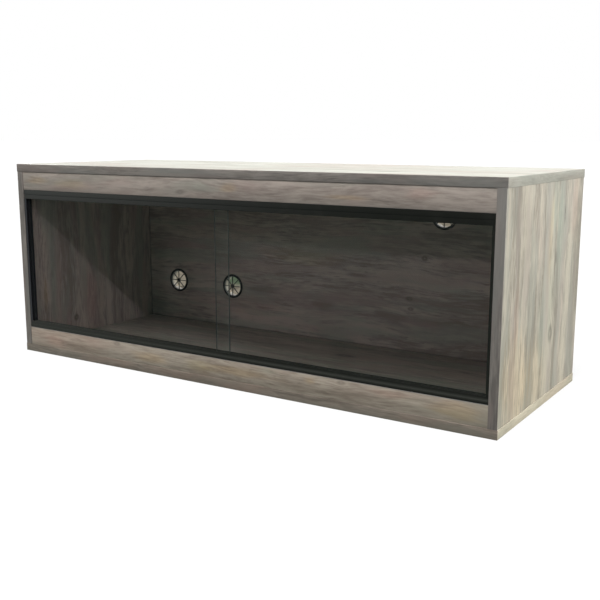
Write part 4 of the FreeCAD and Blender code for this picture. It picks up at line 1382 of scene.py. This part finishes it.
@dataclass
class Studio:
    """A plain pale floor, a plain world and soft far lamps."""

    floor_reach: float = 120.0
    floor_colour: Colour = colour(0.12, 0.12, 0.12)
    floor_glow: float = 0.86
    ambient: Colour = colour(0.360, 0.375, 0.360)
    front_ambient: Colour = colour(0.079, 0.124, 0.112)
    seen_in_gloss: Colour = colour(0.158, 0.222, 0.185)
    seen_through: Colour = colour(0.300, 0.262, 0.205)
    seen_between: Colour = colour(0.125, 0.108, 0.082)
    seen_beyond: Colour = colour(0.100, 0.135, 0.085)
    lamps: tuple[Lamp, ...] = (
        Lamp("sky_lamp", Vector((0.04, 0.405, -0.95)), 1.07, 24.0),
        Lamp("floor_lamp", Vector((0.04, 0.74, -0.95)), 0.098, 9.0, (0.96, 1.0, 1.0)),
        Lamp("side_lamp", Vector((-1.0, -0.28, -0.25)), 0.91, 30.0, (1.0, 0.985, 0.94)),
        Lamp("low_lamp", Vector((-2.7, 1.0, -0.87)), 0.070, 0.6, (1.0, 0.86, 0.97)),
        Lamp("left_lamp", Vector((1.0, -0.25, -0.30)), 0.42, 40.0),
        Lamp("back_lamp", Vector((-0.2, -1.0, -1.1)), 0.25, 40.0),
        *(Lamp("room_lamp_%d" % i, Vector((0.1 + 0.25 * i, 1.0, -0.288)), 0.0172, 1.2, (1.0, 0.86, 0.97))
          for i in range(3)),
    )

    def build(self) -> None:
        """Make the floor, the world and the lamps."""
        self.build_floor()
        self.build_world()
        for lamp in self.lamps:
            self.hang(lamp)

    def build_floor(self) -> None:
        """A large pale floor, which glows for the camera and keeps the cabinet's shadow."""
        Bench.clear()
        bpy.ops.mesh.primitive_plane_add(size=self.floor_reach, location=(0, 0, 0))
        floor = Bench.name(bpy.context.object, "studio_floor")
        material = bpy.data.materials.new("studio_floor")
        material.use_nodes = True
        sheet = Sheet(material.node_tree)
        shader = material.node_tree.nodes["Principled BSDF"]
        place = sheet.add("TexCoord").outputs["Object"]
        parts = sheet.split(place)
        dappled = sheet.spread(sheet.noise(place, (16.0, 11.0, 11.0), 2.0), 0.45, 0.70)
        behind = sheet.blend(dappled, self.seen_through, self.seen_between)
        beyond = sheet.maths("MULTIPLY", sheet.spread(parts["X"], -0.98, -0.88), sheet.spread(parts["Y"], 0.78, 0.88))
        behind = sheet.blend(beyond, behind, self.seen_beyond)
        base = sheet.blend(self.through_glass(sheet), self.floor_colour, BLACK)
        sheet.feed(shader.inputs["Base Color"], base)
        shader.inputs["Roughness"].default_value = 0.9
        shader.inputs["Specular IOR Level"].default_value = 0.0
        glow = sheet.add("Emission", {"Color": self.paleness(sheet, self.seen_in_gloss, behind)})
        glow.inputs["Strength"].default_value = self.floor_glow
        both = sheet.add("AddShader", {0: shader.outputs[0], 1: glow.outputs[0]})
        sheet.feed(material.node_tree.nodes["Material Output"].inputs["Surface"], both.outputs[0])
        floor.data.materials.append(material)

    @staticmethod
    def through_glass(sheet: Sheet) -> bpy.types.NodeSocket:
        """Whether a ray has come straight from the camera through glass: 1 or 0."""
        path = sheet.add("LightPath").outputs
        unscattered = sheet.maths("LESS_THAN", path["Diffuse Depth"], 0.5)
        unmirrored = sheet.maths("LESS_THAN", path["Glossy Depth"], 0.5)
        straight = sheet.maths("MULTIPLY", unscattered, unmirrored)
        return sheet.maths("MULTIPLY", path["Is Transmission Ray"], straight)

    def paleness(self, sheet: Sheet, mirrored: object, behind: object, even: object = BLACK) -> bpy.types.NodeSocket:
        """How the surroundings look to each kind of ray.

        Args:
            sheet: The node tree that asks.
            mirrored: The colour that a mirrored ray sees.
            behind: The colour that a ray sees through glass.
            even: The colour that a ray sees once a rough surface has scattered it.

        Returns:
            The colour, which is white straight from the camera.
        """
        path = sheet.add("LightPath").outputs
        unscattered = sheet.maths("LESS_THAN", path["Diffuse Depth"], 0.5)
        look = sheet.blend(path["Is Camera Ray"], even, colour(1, 1, 1))
        look = sheet.blend(sheet.maths("MULTIPLY", path["Is Glossy Ray"], unscattered), look, mirrored)
        return sheet.blend(self.through_glass(sheet), look, behind)

    def build_world(self) -> None:
        """A white world for the camera, glass and mirrors, and a low even light elsewhere."""
        world = bpy.data.worlds.new("studio_world")
        bpy.context.scene.world = world
        world.use_nodes = True
        sheet = Sheet(world.node_tree)
        heading = sheet.split(sheet.add("TexCoord").outputs["Generated"])
        mirrored = sheet.blend(sheet.spread(heading["Y"], -0.1, 0.4), self.seen_in_gloss, colour(1, 1, 1))
        even = sheet.blend(sheet.spread(heading["Y"], -0.2, 0.3), self.front_ambient, self.ambient)
        background = world.node_tree.nodes["Background"]
        sheet.feed(background.inputs["Color"], self.paleness(sheet, mirrored, self.seen_through, even))
        background.inputs["Strength"].default_value = 1.0

    def shelter(self, lamp: str, names: Sequence[str]) -> None:
        """Keep one lamp's light off the pieces behind the glass, which are dim in daylight."""
        shade = bpy.data.collections.new(lamp + "_shade")
        for name in names:
            shade.objects.link(bpy.data.objects[name])
        bpy.data.objects[lamp].light_linking.receiver_collection = shade
        for member in shade.collection_objects:
            member.light_linking.link_state = "EXCLUDE"

    @staticmethod
    def hang(lamp: Lamp) -> None:
        """Set up one far lamp."""
        bpy.ops.object.light_add(type="SUN", rotation=lamp.way.to_track_quat("-Z", "Y").to_euler())
        light = bpy.context.object
        light.name = lamp.name
        light.data.name = lamp.name
        light.data.energy = lamp.level * math.pi
        light.data.angle = math.radians(lamp.spread)
        light.data.color = lamp.tint
        light.data.cycles.use_multiple_importance_sampling = False


@dataclass
class PhotoCamera:
    """The camera at the photograph's viewing angle."""

    place: Vector = field(default_factory=lambda: Vector((1.11843, -1.64876, 0.52537)))
    heading: float = 32.9171
    tilt: float = 10.6075
    roll: float = 0.0472
    lens: float = 52.83
    sensor: float = 36.0

    def build(self) -> None:
        """Make the camera and set it as the scene's."""
        turn = Euler((math.radians(90 - self.tilt), 0, math.radians(self.heading))).to_matrix()
        turn = turn @ Matrix.Rotation(math.radians(self.roll), 3, "Z")
        bpy.ops.object.camera_add(location=self.place, rotation=turn.to_euler())
        camera = bpy.context.object
        camera.name = "photo_camera"
        camera.data.lens = self.lens
        camera.data.sensor_width = self.sensor
        camera.data.clip_start = 0.05
        camera.data.clip_end = 500.0
        bpy.context.scene.camera = camera


def main() -> None:
    """Build the studio and every sub-assembly of the cabinet in order."""
    logging.basicConfig(level=logging.INFO, format="%(message)s")
    bpy.context.scene.view_settings.view_transform = "Standard"
    PhotoCamera().build()
    studio = Studio()
    studio.build()
    effects = Effects()
    Carcass(effects).build()
    Edging(effects).build()
    Channels(effects).build()
    SlidingDoors().build()
    AirVents(effects).build()
    Fittings(effects).build()
    studio.shelter("sky_lamp", [
        *(node + "_board" for node in ("base_panel", "back_panel", "left_side_panel", "right_side_panel")),
        "left_glass_door_pane", "right_glass_door_pane", "low_left_vent", "low_middle_vent", "high_right_vent",
        *("cam_cover_%d" % i for i in range(1, 5)),
    ])
    studio.shelter("floor_lamp", [
        "top_fascia_board", "bottom_fascia_board", "top_runner_section", "bottom_runner_section",
        *(name + "_front_strip" for name in ("top_panel", "base_panel", "left_side", "right_side")),
    ])


if __name__ == "__main__":
    main()
